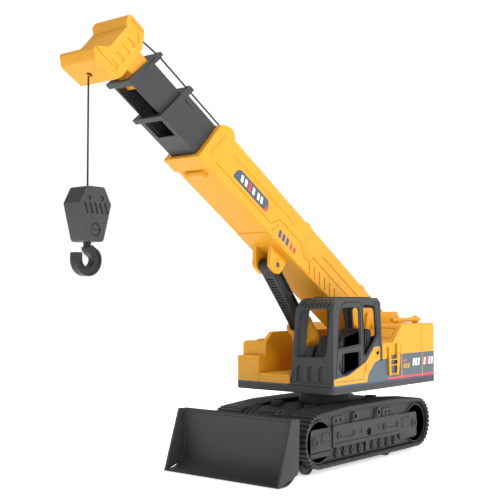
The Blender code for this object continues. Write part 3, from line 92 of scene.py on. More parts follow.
def rounded(corners, steps=5):
    """Points of an outline whose corners are (u, v) or (u, v, radius)."""
    points = []
    count = len(corners)
    for index, corner in enumerate(corners):
        here = Vector(corner[:2])
        radius = corner[2] if len(corner) > 2 else 0.0
        if radius <= 0.0:
            points.append(here)
            continue
        before = (Vector(corners[index - 1][:2]) - here).normalized()
        after = (Vector(corners[(index + 1) % count][:2]) - here).normalized()
        half = before.angle(after) / 2
        centre = here + (before + after).normalized() * radius / math.sin(half)
        first = here + before * radius / math.tan(half) - centre
        last = here + after * radius / math.tan(half) - centre
        sweep = max(1e-4, math.pi - 2 * half)
        for step in range(steps + 1):
            share = step / steps
            near = math.sin((1 - share) * sweep) / math.sin(sweep)
            far = math.sin(share * sweep) / math.sin(sweep)
            points.append(centre + first * near + last * far)
    return points


def disc(u, v, radius, sides=24):
    turn = 2 * math.pi / sides
    return [Vector((u + radius * math.cos(turn * k), v + radius * math.sin(turn * k))) for k in range(sides)]


def stadium(start, end, radius, steps=8):
    """An obround: a line from start to end with a round end on each."""
    start, end = Vector(start), Vector(end)
    way = (end - start).normalized()
    side = Vector((-way.y, way.x))
    points = []
    for centre, sign in ((end, 1), (start, -1)):
        for step in range(steps + 1):
            angle = math.pi * step / steps
            points.append(centre + (side * -math.cos(angle) + way * math.sin(angle)) * radius * sign)
    return points


def on_boom(outline):
    """(s, t) points as the boom's own (y, z)."""
    return [Vector((-point[0], point[1])) for point in outline]


def slab(outline, low, high, axis="X", place=TO_SLEW):
    """The outline drawn out along axis, from low to high, in the axes of place."""
    order = {"X": lambda u, v, w: (w, u, v), "Y": lambda u, v, w: (u, w, v), "Z": lambda u, v, w: (u, v, w)}[axis]
    bm = bmesh.new()
    face = bm.faces.new([bm.verts.new(order(point[0], point[1], low)) for point in outline])
    grown = bmesh.ops.extrude_face_region(bm, geom=[face])
    moved = [item for item in grown["geom"] if isinstance(item, bmesh.types.BMVert)]
    bmesh.ops.translate(bm, verts=moved, vec=order(0, 0, high - low))
    bmesh.ops.recalc_face_normals(bm, faces=bm.faces)
    bmesh.ops.transform(bm, matrix=place, verts=bm.verts)
    return bm


def block(x, y, z, place=TO_SLEW):
    return slab([(y[0], z[0]), (y[1], z[0]), (y[1], z[1]), (y[0], z[1])], x[0], x[1], "X", place)


def peg(centre, radius, low, high, axis="X", place=TO_SLEW, sides=24):
    return slab(disc(centre[0], centre[1], radius, sides), low, high, axis, place)


def boom_slab(outline, low, high):
    return slab(on_boom(outline), low, high, "X", TO_BOOM)


def ball(centre, radius, scale=(1, 1, 1), place=TO_SLEW):
    bm = bmesh.new()
    bmesh.ops.create_uvsphere(bm, u_segments=20, v_segments=12, radius=radius)
    bmesh.ops.scale(bm, vec=scale, verts=bm.verts)
    bmesh.ops.translate(bm, vec=centre, verts=bm.verts)
    bmesh.ops.transform(bm, matrix=place, verts=bm.verts)
    return bm


def flipped(bm):
    """The solid's mirror image on the crane's other side."""
    bmesh.ops.scale(bm, vec=(-1, 1, 1), verts=bm.verts)
    bmesh.ops.reverse_faces(bm, faces=bm.faces)
    return bm


print("an obround has", len(stadium((0, 0), (1, 0), 0.2)), "points")

# %% [markdown]
# Carving is done with the Boolean modifier, applied at once: solids are first added to a
# piece, then others are taken away. The result's flat faces are dissolved into single faces,
# so a small Bevel can round every edge, which is what makes moulded plastic catch the light.

# %% Carve and finish
scene = bpy.context.scene


def loose_object(name, bm):
    mesh = bpy.data.meshes.new(name)
    bm.to_mesh(mesh)
    bm.free()
    made = bpy.data.objects.new(name, mesh)
    scene.collection.objects.link(made)
    return made


def node_solid(name):
    """A merged copy of a frame node's mesh."""
    bm = bmesh.new()
    bm.from_mesh(frame["nodes"][name].data)
    bmesh.ops.remove_doubles(bm, verts=bm.verts, dist=1e-6)
    return bm


def combined(bm, solid, operation):
    """bm with one solid joined to it or taken away."""
    target, helper = loose_object("carving", bm.copy()), loose_object("helper", solid.copy())
    modifier = target.modifiers.new("Boolean", "BOOLEAN")
    modifier.operation = operation
    modifier.solver = "EXACT"
    modifier.object = helper
    bpy.context.view_layer.update()
    mesh = bpy.data.meshes.new_from_object(target.evaluated_get(bpy.context.evaluated_depsgraph_get()))
    result = bmesh.new()
    result.from_mesh(mesh)
    bpy.data.objects.remove(target, do_unlink=True)
    bpy.data.objects.remove(helper, do_unlink=True)
    bpy.data.meshes.remove(mesh)
    return result


def open_edges(bm):
    return [edge for edge in bm.edges if len(edge.link_faces) != 2]


def carved(bm, add=(), cut=()):
    """bm with the solids in add joined to it, then those in cut taken away, one at a time.

    Faces that lie exactly on each other can leave a pinhole. Pinholes are filled, and if that
    doesn't close the piece, the solid is moved a hundredth of a millimetre and tried again."""
    for operation, solids in (("UNION", add), ("DIFFERENCE", cut)):
        for solid in solids:
            volume = bm.calc_volume(signed=True)
            bmesh.ops.triangulate(bm, faces=bm.faces)
            tries = []
            for attempt in range(4):
                result = combined(bm, solid, operation)
                bmesh.ops.remove_doubles(result, verts=result.verts, dist=5e-7)
                bmesh.ops.holes_fill(result, edges=open_edges(result), sides=6)
                kept = result.calc_volume(signed=True) > volume * 0.02
                tries.append((len(open_edges(result)) if kept else 10000, attempt, result))
                if tries[-1][0] == 0:
                    break
                bmesh.ops.translate(solid, verts=solid.verts, vec=(0.9e-5, 1.3e-5, 0.7e-5))
            best = min(tries, key=lambda one: one[:2])
            if best[0] > 12:
                print("left out one carving")
                continue
            bm.free()
            solid.free()
            bm = best[2]
    return bm


def finish(name, bm, material, body, edge=0.0003, stands_for=(), smooth=32.0, segments=2):
    """Makes the piece: flat faces joined, edges rounded, finish on, riding its body."""
    bmesh.ops.remove_doubles(bm, verts=bm.verts, dist=2e-6)
    bmesh.ops.dissolve_limit(bm, angle_limit=math.radians(1.0), verts=bm.verts, edges=bm.edges)
    mesh = bpy.data.meshes.new(name)
    bm.to_mesh(mesh)
    bm.free()
    mesh.materials.clear()
    mesh.materials.append(material)
    mesh.shade_smooth()
    mesh.set_sharp_from_angle(angle=math.radians(smooth))
    made = bpy.data.objects.new(name, mesh)
    scene.collection.objects.link(made)
    if edge:
        bevel = made.modifiers.new("Bevel", "BEVEL")
        bevel.width = edge
        bevel.segments = segments
        bevel.limit_method = "ANGLE"
        bevel.angle_limit = math.radians(smooth)
        bevel.use_clamp_overlap = False
        bevel.miter_outer = "MITER_ARC"
        bevel.harden_normals = False
    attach(made, body)
    if stands_for:
        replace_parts(made, *stands_for)
    return made


print("carving ready")

# %% [markdown]
# Toy plastic is never one flat colour. The yellow is a glossy ABS with a slight unevenness in
# its gloss, and enough light goes into it to warm its shaded sides. The dark grey is a satin
# plastic with a fine spark-eroded grain. Noise in object coordinates makes both.

# %% Finishes


def plastic(name, color, roughness, grain, grain_size, strength, coat=0.0, glow=0.0):
    """A moulded plastic: uneven colour and gloss, and a fine grain."""
    made = bpy.data.materials.new(name)
    made.use_nodes = True
    nodes, links = made.node_tree.nodes, made.node_tree.links
    shader = nodes["Principled BSDF"]
    where = nodes.new("ShaderNodeTexCoord")
    cloud = nodes.new("ShaderNodeTexNoise")
    cloud.inputs["Scale"].default_value = 28.0
    cloud.inputs["Detail"].default_value = 4.0
    links.new(where.outputs["Object"], cloud.inputs["Vector"])
    tint = nodes.new("ShaderNodeValToRGB")
    tint.color_ramp.elements[0].position = 0.30
    tint.color_ramp.elements[0].color = tuple(c * (1 - grain) for c in color) + (1.0,)
    tint.color_ramp.elements[1].position = 0.72
    tint.color_ramp.elements[1].color = tuple(min(1.0, c * (1 + grain)) for c in color) + (1.0,)
    links.new(cloud.outputs["Fac"], tint.inputs["Fac"])
    links.new(tint.outputs["Color"], shader.inputs["Base Color"])
    gloss = nodes.new("ShaderNodeMapRange")
    gloss.inputs["From Min"].default_value = 0.3
    gloss.inputs["From Max"].default_value = 0.7
    gloss.inputs["To Min"].default_value = roughness - 0.04
    gloss.inputs["To Max"].default_value = roughness + 0.05
    links.new(cloud.outputs["Fac"], gloss.inputs["Value"])
    links.new(gloss.outputs["Result"], shader.inputs["Roughness"])
    speck = nodes.new("ShaderNodeTexNoise")
    speck.inputs["Scale"].default_value = grain_size
    speck.inputs["Detail"].default_value = 3.0
    links.new(where.outputs["Object"], speck.inputs["Vector"])
    bump = nodes.new("ShaderNodeBump")
    bump.inputs["Strength"].default_value = strength
    bump.inputs["Distance"].default_value = 0.0002
    links.new(speck.outputs["Fac"], bump.inputs["Height"])
    links.new(bump.outputs["Normal"], shader.inputs["Normal"])
    shader.inputs["IOR"].default_value = 1.52
    shader.inputs["Specular IOR Level"].default_value = 0.36
    shader.inputs["Coat Weight"].default_value = coat
    shader.inputs["Coat Roughness"].default_value = 0.22
    if glow:
        shader.inputs["Subsurface Weight"].default_value = glow
        shader.inputs["Subsurface Radius"].default_value = (1.0, 0.45, 0.08)
        shader.inputs["Subsurface Scale"].default_value = 0.0016
    return made


YELLOW = plastic("yellow_abs", (0.70, 0.322, 0.011), 0.46, 0.035, 1400.0, 0.10, coat=0.05, glow=0.10)
DARK = plastic("dark_grey_satin", (0.036, 0.038, 0.040), 0.50, 0.07, 2200.0, 0.22)
TRACK = plastic("track_grey", (0.027, 0.0285, 0.0295), 0.52, 0.10, 1800.0, 0.30)
BLACK = plastic("black_satin", (0.008, 0.0084, 0.0088), 0.38, 0.10, 1800.0, 0.20)
SLATE = plastic("slate_film", (0.055, 0.083, 0.105), 0.36, 0.05, 900.0, 0.06, coat=0.3)
NAVY = plastic("navy_edge_ink", (0.035, 0.065, 0.150), 0.36, 0.04, 900.0, 0.05, coat=0.3)
RED = plastic("red_ink", (0.86, 0.035, 0.055), 0.36, 0.03, 900.0, 0.05, coat=0.3)
WHITE = plastic("white_ink", (0.86, 0.87, 0.88), 0.36, 0.02, 900.0, 0.05, coat=0.3)


def brushed(name, color, roughness):
    """Bright steel with fine lines from drawing along X."""
    made = plastic(name, color, roughness, 0.05, 900.0, 0.12)
    tree = made.node_tree
    tree.nodes["Principled BSDF"].inputs["Metallic"].default_value = 1.0
    stretch = tree.nodes.new("ShaderNodeMapping")
    stretch.inputs["Scale"].default_value = (0.05, 1.0, 1.0)
    source = tree.nodes["Texture Coordinate"].outputs["Object"]
    speck = [node for node in tree.nodes if node.type == "TEX_NOISE"][1]
    tree.links.new(source, stretch.inputs["Vector"])
    tree.links.new(stretch.outputs["Vector"], speck.inputs["Vector"])
    return made


STEEL = brushed("bright_steel", (0.62, 0.63, 0.64), 0.28)


def braid(name):
    """Black cord: thin bands that wind round it, as its strands do."""
    made = plastic(name, (0.012, 0.012, 0.013), 0.75, 0.15, 2600.0, 0.3)
    tree = made.node_tree
    wave = tree.nodes.new("ShaderNodeTexWave")
    wave.bands_direction = "DIAGONAL"
    wave.inputs["Scale"].default_value = 520.0
    wave.inputs["Distortion"].default_value = 1.5
    tree.links.new(tree.nodes["Texture Coordinate"].outputs["Object"], wave.inputs["Vector"])
    tree.links.new(wave.outputs["Fac"], tree.nodes["Bump"].inputs["Height"])
    tree.nodes["Bump"].inputs["Strength"].default_value = 0.6
    return made


CORD = braid("braided_cord")
BY_SLOT = {"yellow": YELLOW, "dark_grey": DARK, "black": BLACK, "cord": CORD, "steel": STEEL}
for row in frame["record"]["subparts"]:
    holder = frame["nodes"][row["node"]]
    holder.data.materials.clear()
    holder.data.materials.append(BY_SLOT[row["material_slot"]])
print("finishes:", ", ".join(sorted(m.name for m in bpy.data.materials if m.users)))

# %% [markdown]
# A studio shot on white: a large soft light high on the left front, a weaker one from the
# right to lift the shaded fronts, and a bright white room that fills the rest. The floor is
# pale and keeps only a soft shadow. The camera stands low and looks a little up.

# %% Camera, lights and floor
camera_data = bpy.data.cameras.new("camera")
camera_data.lens = 68.8
camera_data.sensor_width = 36.0
camera = bpy.data.objects.new("camera", camera_data)
scene.collection.objects.link(camera)
camera.location = SLEW + Vector((0.5186, -0.7392, 0.1511))
camera.rotation_euler = (math.radians(90.0 + 2.61), 0.0, math.radians(39.48))
scene.camera = camera


def lamp(name, place, aim, size, power, color=(1, 1, 1)):
    data = bpy.data.lights.new(name, "AREA")
    data.shape = "DISK"
    data.size = size
    data.energy = power
    data.color = color
    made = bpy.data.objects.new(name, data)
    scene.collection.objects.link(made)
    made.location = place
    made.rotation_euler = (Vector(aim) - Vector(place)).to_track_quat("-Z", "Y").to_euler()
    return made


lamp("key", (1.45, 0.10, 0.95), (0.0, 0.0, 0.12), 0.8, 17.5)
lamp("top", (-0.2, 0.3, 1.9), (0.0, 0.0, 0.1), 1.0, 16.0)
lamp("front", (-0.6, -1.7, 0.7), (0.0, 0.0, 0.12), 1.2, 1.5)
world = bpy.data.worlds.new("white_room")
world.use_nodes = True
sky, sky_links = world.node_tree.nodes, world.node_tree.links
looking = sky.new("ShaderNodeTexCoord")
height = sky.new("ShaderNodeSeparateXYZ")
fade = sky.new("ShaderNodeMapRange")
fade.inputs["From Min"].default_value = 0.30
fade.inputs["From Max"].default_value = 0.42
fade.inputs["To Min"].default_value = 1.02
fade.inputs["To Max"].default_value = 0.42
sky_links.new(looking.outputs["Generated"], height.inputs["Vector"])
sky_links.new(height.outputs["Z"], fade.inputs["Value"])
sky_links.new(fade.outputs["Result"], sky["Background"].inputs["Strength"])
sky["Background"].inputs["Color"].default_value = (1.0, 1.0, 1.0, 1.0)
scene.world = world
scene.view_settings.view_transform = "Standard"
scene.view_settings.look = "None"
floor_bm = bmesh.new()
bmesh.ops.create_grid(floor_bm, x_segments=1, y_segments=1, size=40.0)
floor = loose_object("floor", floor_bm)
floor.location.z = -0.0004
pale = bpy.data.materials.new("pale_floor")
pale.use_nodes = True
pale.node_tree.nodes["Principled BSDF"].inputs["Base Color"].default_value = (0.95, 0.95, 0.95, 1)
pale.node_tree.nodes["Principled BSDF"].inputs["Roughness"].default_value = 0.6
pale.node_tree.nodes["Principled BSDF"].inputs["Emission Color"].default_value = (1, 1, 1, 1)
pale.node_tree.nodes["Principled BSDF"].inputs["Emission Strength"].default_value = 0.60
floor.data.materials.append(pale)
print("camera at", tuple(round(v, 3) for v in camera.location))

# %% [markdown]
# Each track is one moulding on the toy, but it shows pads all the way round. One pad is an
# extruded profile, and copies of it are set along the belt's outline at an even pitch. A
# thinner band under the pads closes the gaps between them. Where the small wheels come through
# the lower run, the band is cut and the pads stop short.

# %% Track belts
TRACK_OUT, TRACK_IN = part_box("track_belt_left")[1][0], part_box("track_belt_left")[0][0]
TRACK_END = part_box("track_belt_left")[1][1] - SLEW.y
TRACK_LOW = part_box("track_belt_left")[0][2]
TRACK_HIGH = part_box("track_belt_left")[1][2]
END_TOP = TRACK_HIGH - 0.0041
CROWN_Y = 0.040
END_RADIUS = (END_TOP - TRACK_LOW) / 2 - 0.0002
PAD_HEIGHT = 0.0017
PAD_PITCH = 0.0042
AXLES = [Vector(joints[name]["pos_m"]) - SLEW for name in ("front_axle_roll", "rear_axle_roll")]
WHEEL_X = (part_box("front_wheel_left")[0][0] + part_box("front_wheel_left")[1][0]) / 2


def belt_outline(inset, steps=10):
    end, low = TRACK_END - inset, TRACK_LOW + inset
    high, crown, radius = END_TOP - inset, TRACK_HIGH - inset, END_RADIUS - inset
    return rounded(
        [(-end, low, radius), (end, low, radius), (end, high, radius), (CROWN_Y, crown, 0.06),
         (-CROWN_Y, crown, 0.06), (-end, high, radius)], steps)


def ring_slab(outer, inner, low, high, axis="X", place=TO_SLEW):
    """The wall between two outlines: one slab with the other carved out of it."""
    return carved(slab(outer, low, high, axis, place), cut=[slab(inner, low - 0.001, high + 0.001, axis, place)])


def even_stations(outline, pitch):
    """(point, angle) at even steps round a closed outline."""
    lengths = [(outline[(k + 1) % len(outline)] - outline[k]).length for k in range(len(outline))]
    count = round(sum(lengths) / pitch)
    step = sum(lengths) / count
    stations, walked, index = [], 0.0, 0
    for k in range(count):
        while walked + lengths[index] < k * step:
            walked += lengths[index]
            index += 1
        here, ahead = outline[index], outline[(index + 1) % len(outline)]
        way = (ahead - here).normalized()
        stations.append((here + way * (k * step - walked), math.atan2(way.y, way.x)))
    return stations


def pad(point, angle, x_low, x_high):
    """One grouser pad: a flat foot with two low bars on it."""
    half, bar, high = PAD_PITCH * 0.43, PAD_PITCH * 0.10, PAD_HEIGHT
    profile = [(-half, 0.0007), (half, 0.0007), (half, -high * 0.45), (half * 0.55, -high * 0.5),
               (half * 0.40, -high), (-half * 0.25 - bar, -high), (-half * 0.45 - bar, -high * 0.5), (-half, -high * 0.4)]
    turn = Matrix.Rotation(angle, 2)
    return slab([point + turn @ Vector(p) for p in profile], x_low, x_high)


def track(side, flip):
    band = ring_slab(belt_outline(PAD_HEIGHT), belt_outline(0.0034), TRACK_IN + 0.0010, TRACK_OUT - 0.0009)
    reach, half = 0.0098, 0.0035
    cuts = []
    for axle in AXLES:
        slot = ((axle.y - reach, axle.y + reach), (0.0, axle.z * 2 + 0.001))
        cuts.append(block((WHEEL_X - half, WHEEL_X + half), *slot))
        cuts.append(block((TRACK_IN - 0.001, WHEEL_X), (axle.y - 0.0018, axle.y + 0.0018), slot[1]))
    belt = carved(band, cut=cuts)
    links = bmesh.new()
    for point, angle in even_stations(belt_outline(PAD_HEIGHT), PAD_PITCH):
        spans = [(TRACK_IN, TRACK_OUT)]
        for axle in AXLES:
            if abs(point.x - axle.y) < reach + PAD_PITCH / 2 and point.y < 0.012:
                spans = [(TRACK_IN, WHEEL_X - half), (WHEEL_X + half, TRACK_OUT)]
                if abs(point.x - axle.y) < PAD_PITCH:
                    spans = spans[1:]
        for low, high in spans:
            one = pad(point, angle, low, high)
            mesh = bpy.data.meshes.new("pad")
            one.to_mesh(mesh)
            one.free()
            links.from_mesh(mesh)
            bpy.data.meshes.remove(mesh)
    if flip:
        belt, links = flipped(belt), flipped(links)
    finish(f"track_band_{side}", belt, TRACK, "chassis", 0.0002, [f"track_belt_{side}"])
    return finish(f"track_pads_{side}", links, TRACK, "chassis", 0.0)


for side, flip in (("left", False), ("right", True)):
    made = track(side, flip)
print("pads on a track:", len(made.data.polygons) // 10)

# %% [markdown]
# The side frames are where the toy copies a real crawler: a long box between two end plates,
# adjuster slots, bolt plates, two top rollers on brackets and a row of bottom rollers. All of
# it is shallow relief on one plate, so each detail is a slab added to or cut from the plate.

# %% Side frames
PLATE_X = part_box("side_frame_left")[0][0] + 0.0022
BOX_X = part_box("side_frame_left")[1][0]
END_X = BOX_X - 0.0010
BOTTOM_ROLLERS = [-0.0525, -0.0405, -0.0285, -0.0165, 0.0055, 0.0180, 0.0305, 0.0425]


def panel(y, z, low, high, radius=0.0008):
    corners = [(y[0], z[0], radius), (y[1], z[0], radius), (y[1], z[1], radius), (y[0], z[1], radius)]
    return slab(rounded(corners, 3), low, high)


def bolt_plate(y, z, adds, cuts):
    adds.append(panel(y, z, END_X - 0.0005, END_X + 0.0006, 0.0012))
    for dot_y in (y[0] + 0.0025, y[1] - 0.0025):
        for dot_z in (z[0] + 0.0020, z[1] - 0.0020):
            cuts.append(peg((dot_y, dot_z), 0.0008, END_X, END_X + 0.002, sides=12))


def hub(y, z, base, adds, cuts):
    adds.append(peg((y, z), 0.0052, base - 0.0005, base + 0.0006))
    adds.append(peg((y, z), 0.0036, base - 0.0005, base + 0.0014))
    cuts.append(peg((y, z), 0.0019, base + 0.0004, base + 0.003))
    adds.append(peg((y, z), 0.0010, base - 0.0005, base + 0.0010, sides=12))


def side_frame(side, flip):
    adds, cuts = [], []
    hub(-0.0855, 0.0268, END_X, adds, cuts)
    hub(0.0770, 0.0268, END_X, adds, cuts)
    bolt_plate((-0.0765, -0.0640), (0.0245, 0.0333), adds, cuts)
    bolt_plate((0.0550, 0.0690), (0.0240, 0.0338), adds, cuts)
    for nut_y, slot in ((-0.0520, (-0.0462, -0.0300)), (0.0225, (0.0290, 0.0435))):
        adds.append(slab(disc(nut_y, 0.0292, 0.0034, 6), BOX_X - 0.0005, BOX_X + 0.0011))
        cuts.append(peg((nut_y, 0.0292), 0.0015, BOX_X + 0.0003, BOX_X + 0.002, sides=12))
        cuts.append(slab(stadium((slot[0], 0.0295), (slot[1], 0.0295), 0.0026), BOX_X - 0.0009, BOX_X + 0.001))
        adds.append(slab(stadium((slot[0] + 0.002, 0.0295), (slot[1] - 0.002, 0.0295), 0.0012), BOX_X - 0.0012, BOX_X - 0.0003))
    for mark in (-0.0160, 0.0125):
        adds.append(panel((mark - 0.0008, mark + 0.0008), (0.0275, 0.0320), BOX_X - 0.0005, BOX_X + 0.0006, 0.0003))
    for roller_y, low, high in ((-0.0255, -0.0300, -0.0210), (0.0130, 0.0080, 0.0175)):
        adds.append(panel((low, high), (0.0375, 0.0465), PLATE_X - 0.0005, PLATE_X + 0.0016, 0.0012))
        adds.append(peg((roller_y, 0.0432), 0.0040, PLATE_X - 0.0005, PLATE_X + 0.0028))
        cuts.append(peg((roller_y, 0.0432), 0.0021, PLATE_X + 0.0004, PLATE_X + 0.004))
    for low, high, holes in ((-0.0590, -0.0420, (-0.0540, -0.0470)), (0.0215, 0.0360, (0.0265, 0.0332))):
        adds.append(panel((low, high), (0.0375, 0.0455), PLATE_X - 0.0005, PLATE_X + 0.0012, 0.0015))
        for hole in holes:
            cuts.append(peg((hole, 0.0420), 0.0015, PLATE_X + 0.0001, PLATE_X + 0.002, sides=14))
    for roller_y in BOTTOM_ROLLERS:
        adds.append(peg((roller_y, 0.0142), 0.0036, PLATE_X - 0.0005, BOX_X - 0.0008))
        adds.append(peg((roller_y, 0.0142), 0.0016, PLATE_X - 0.0005, BOX_X + 0.0001, sides=12))
        adds.append(panel((roller_y - 0.0016, roller_y + 0.0016), (0.0142, 0.0200), PLATE_X - 0.0005, BOX_X - 0.0014, 0.0004))
    adds.append(panel((-0.0085, -0.0025), (0.0108, 0.0200), PLATE_X - 0.0005, BOX_X - 0.0008, 0.0006))
    for centre, outer, inner in ((-0.0800, 0.0184, 0.0168), (0.0795, 0.0184, 0.0170), (0.0795, 0.0150, 0.0136)):
        ring = carved(peg((centre, 0.0267), outer, PLATE_X - 0.0004, PLATE_X + 0.0018, sides=48),
                      cut=[peg((centre, 0.0267), inner, PLATE_X - 0.001, PLATE_X + 0.003, sides=48)])
        adds.append(ring)
    cuts.append(panel((-0.0915, -0.0625), (0.0178, 0.0184), END_X - 0.0004, END_X + 0.001, 0.0001))
    cuts.append(panel((-0.0600, 0.0485), (0.0228, 0.0233), BOX_X - 0.0004, BOX_X + 0.001, 0.0001))
    plate = node_solid("side_frame_left")
    plate = carved(plate, adds, cuts)
    if flip:
        plate = flipped(plate)
    finish(f"side_frame_relief_{side}", plate, TRACK, "chassis", 0.00022, [f"side_frame_{side}"])


side_frame("left", False)
side_frame("right", True)
print("bottom rollers on a side:", len(BOTTOM_ROLLERS))

# %% [markdown]
# Between the tracks the chassis slopes down to the blade. Its deck has a raised plate with
# ribs, bosses for the screws, a curved fender beside each track and round pads under the house.

# %% Chassis deck
DECK_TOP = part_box("chassis_frame")[1][2]
NOSE = [(-0.1020, 0.0362), (-0.0700, DECK_TOP)]
SLOPE = math.atan2(NOSE[1][1] - NOSE[0][1], NOSE[1][0] - NOSE[0][0])
TO_NOSE = TO_SLEW @ Matrix.Translation((0, NOSE[0][0], NOSE[0][1])) @ Matrix.Rotation(SLOPE, 4, "X")
adds = [block((-0.0185, 0.0185), (0.0020, 0.0300), (-0.001, 0.0014), TO_NOSE)]
for k in range(7):
    rib = 0.0065 + 0.0030 * k
    adds.append(block((-0.0140, 0.0060), (rib, rib + 0.0013), (0.0, 0.0024), TO_NOSE))
adds.append(peg((0.0120, 0.0215), 0.0044, -0.001, 0.0042, "Z", TO_NOSE))
adds.append(peg((-0.0215, 0.0100), 0.0032, -0.001, 0.0040, "Z", TO_NOSE))
adds.append(peg((0.0215, 0.0060), 0.0030, -0.001, 0.0034, "Z", TO_NOSE))
for x in (-0.0200, 0.0200):
    adds.append(block((x - 0.0007, x + 0.0007), (0.0010, 0.0320), (-0.001, 0.0032), TO_NOSE))
fender = rounded([(-0.1000, 0.0300), (-0.0600, 0.0300), (-0.0600, DECK_TOP + 0.0022), (-0.0690, DECK_TOP + 0.0022, 0.004),
                  (-0.0990, 0.0420, 0.014)], 8)
adds += [slab(fender, x, x + 0.0012) for x in (-0.0266, 0.0254)]
pads = [(-0.0190, -0.0480), (0.0190, -0.0480), (-0.0190, 0.0500), (0.0190, 0.0500)]
adds += [peg(spot, 0.0055, DECK_TOP - 0.001, DECK_TOP + 0.0030, "Z") for spot in pads]
cuts = [peg((0.0120, 0.0215), 0.0019, 0.0024, 0.006, "Z", TO_NOSE)]
cuts += [peg(spot, 0.0022, DECK_TOP + 0.0012, DECK_TOP + 0.006, "Z") for spot in pads]
finish("chassis_deck", carved(node_solid("chassis_frame"), adds, cuts), TRACK, "chassis", 0.00025, ["chassis_frame"])
print(f"the nose slopes {math.degrees(SLOPE):.0f} degrees")

# %% [markdown]
# The blade is a plain satin moulding. Rounding its edges is what it needs most, so it is the
# frame's own solid with a wider bevel, a thin rib along the back and a lip at the top.

# %% Blade
blade_low, blade_high = (Vector(corner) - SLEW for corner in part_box("blade"))
BLADE_X = blade_high.x
ribs = [block((x - 0.0009, x + 0.0009), (-0.1246, -0.1225), (0.012, blade_high.z - 0.004)) for x in (-0.04, 0.0, 0.04)]
ribs.append(block((-BLADE_X + 0.001, BLADE_X - 0.001), (-0.1280, -0.1238), (blade_high.z - 0.0030, blade_high.z - 0.0006)))
finish("blade_board", carved(node_solid("blade"), ribs), TRACK, "blade", 0.0005, ["blade"], segments=3)
finish("blade_arm_frame", node_solid("blade_arms"), DARK, "blade", 0.0004, ["blade_arms"])
print(f"blade {2 * BLADE_X * 1000:.0f} mm wide")

# %% [markdown]
# The four wheels that really carry the toy are small black discs with a rim and a hub.

# %% Wheels
for name, axle, body in (("front", AXLES[0], "front_axle"), ("rear", AXLES[1], "rear_axle")):
    for side, sign in (("left", 1), ("right", -1)):
        node = f"{name}_wheel_{side}"
        low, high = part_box(node)
        face = high[0] if sign > 0 else low[0]
        spot = (axle.y, axle.z)
        inner, outer = sorted((face - sign * 0.0008, face + sign * 0.001))
        groove = ring_slab(disc(*spot, 0.0062, 32), disc(*spot, 0.0034, 32), inner, outer)
        finish(f"{name}_road_wheel_{side}", carved(node_solid(node), cut=[groove]), BLACK, body, 0.0002, [node])
print("wheels: 4")

# %% [markdown]
# The house is a yellow shell on a dark base. Panel gaps are cut a third of a millimetre deep,
# as narrow rings or strips. Coloured bands on its side are thin films a hair proud of the
# plastic: a navy film first, and a slate one a little smaller on top, which leaves a navy edge.

# %% House shell
SIDE = 0.0543
FRONT = -0.0640
FILM = 0.00010


def strip(start, end, width):
    """A straight strip between two points, as an outline."""
    start, end = Vector(start), Vector(end)
    way = (end - start).normalized() * width / 2
    side = Vector((-way.y, way.x))
    return [start - way - side, end + way - side, end + way + side, start - way + side]


def strips(points, width, low, high, axis="X", place=TO_SLEW):
    """One narrow slab along each leg of a line."""
    return [slab(strip(a, b, width), low, high, axis, place) for a, b in zip(points, points[1:])]


def grown(outline, by):
    """The outline moved outwards by the same width all round."""
    area = sum(a.x * b.y - b.x * a.y for a, b in zip(outline, outline[1:] + outline[:1]))
    sign = 1.0 if area > 0 else -1.0
    moved = []
    for index, point in enumerate(outline):
        before = (point - outline[index - 1]).normalized()
        after = (outline[(index + 1) % len(outline)] - point).normalized()
        normal = Vector((before.y + after.y, -before.x - after.x)).normalized() * sign
        lean = max(0.4, normal.dot(Vector((before.y, -before.x)) * sign))
        moved.append(point + normal * by / lean)
    return moved


SLOPE_FOOT, SLOPE_HEAD = Vector((0.0340, 0.1055)), Vector((0.0500, 0.1222))
SLOPE_RUN = SLOPE_HEAD - SLOPE_FOOT
TO_SLOPE = TO_SLEW @ Matrix.Translation((0.0, SLOPE_FOOT.x, SLOPE_FOOT.y)) @ Matrix.Rotation(
    math.atan2(SLOPE_RUN.y, SLOPE_RUN.x), 4, "X"
)
hatch = rounded([(0.0235, 0.0050, 0.001), (0.0490, 0.0050, 0.001), (0.0490, 0.0180, 0.001), (0.0235, 0.0180, 0.001)])
seams = [ring_slab(hatch, grown(hatch, -0.0006), -0.0010, 0.002, "Z", TO_SLOPE)]
seams += strips([(0.0475, 0.0720), (0.0475, 0.1040)], 0.0006, SIDE - 0.0010, SIDE + 0.001)
seams += strips([(0.0865, 0.0720), (0.0865, 0.1200)], 0.0007, SIDE - 0.0010, SIDE + 0.001)
left = carved(node_solid("left_hood"), cut=seams)
finish("engine_hood", left, YELLOW, "house", 0.00022, ["left_hood"])

cap = [peg((-0.0400, -0.0435), 0.0046, 0.1065, 0.1092, "Z"), peg((-0.0400, -0.0200), 0.0030, 0.1065, 0.1085, "Z")]
hollows = [peg((-0.0400, -0.0435), 0.0030, 0.1080, 0.1110, "Z")]
hollows += strips([(-0.0538, 0.0720), (-0.0538, 0.0945)], 0.0006, -SIDE - 0.001, -SIDE + 0.0010)
hollows += strips([(0.0475, 0.0720), (0.0475, 0.1055)], 0.0006, -SIDE - 0.001, -SIDE + 0.0010)
hollows += strips([(0.0865, 0.0720), (0.0865, 0.1200)], 0.0007, -SIDE - 0.001, -SIDE + 0.0010)
far_hatch = [Vector((-x - 0.0040, y)) for x, y in hatch][::-1]
hollows.append(ring_slab(far_hatch, grown(far_hatch, -0.0006), 0.0004, 0.004, "Z", TO_SLOPE))
finish("tank_hood", carved(node_solid("right_hood"), cap, hollows), YELLOW, "house", 0.00022, ["right_hood"])

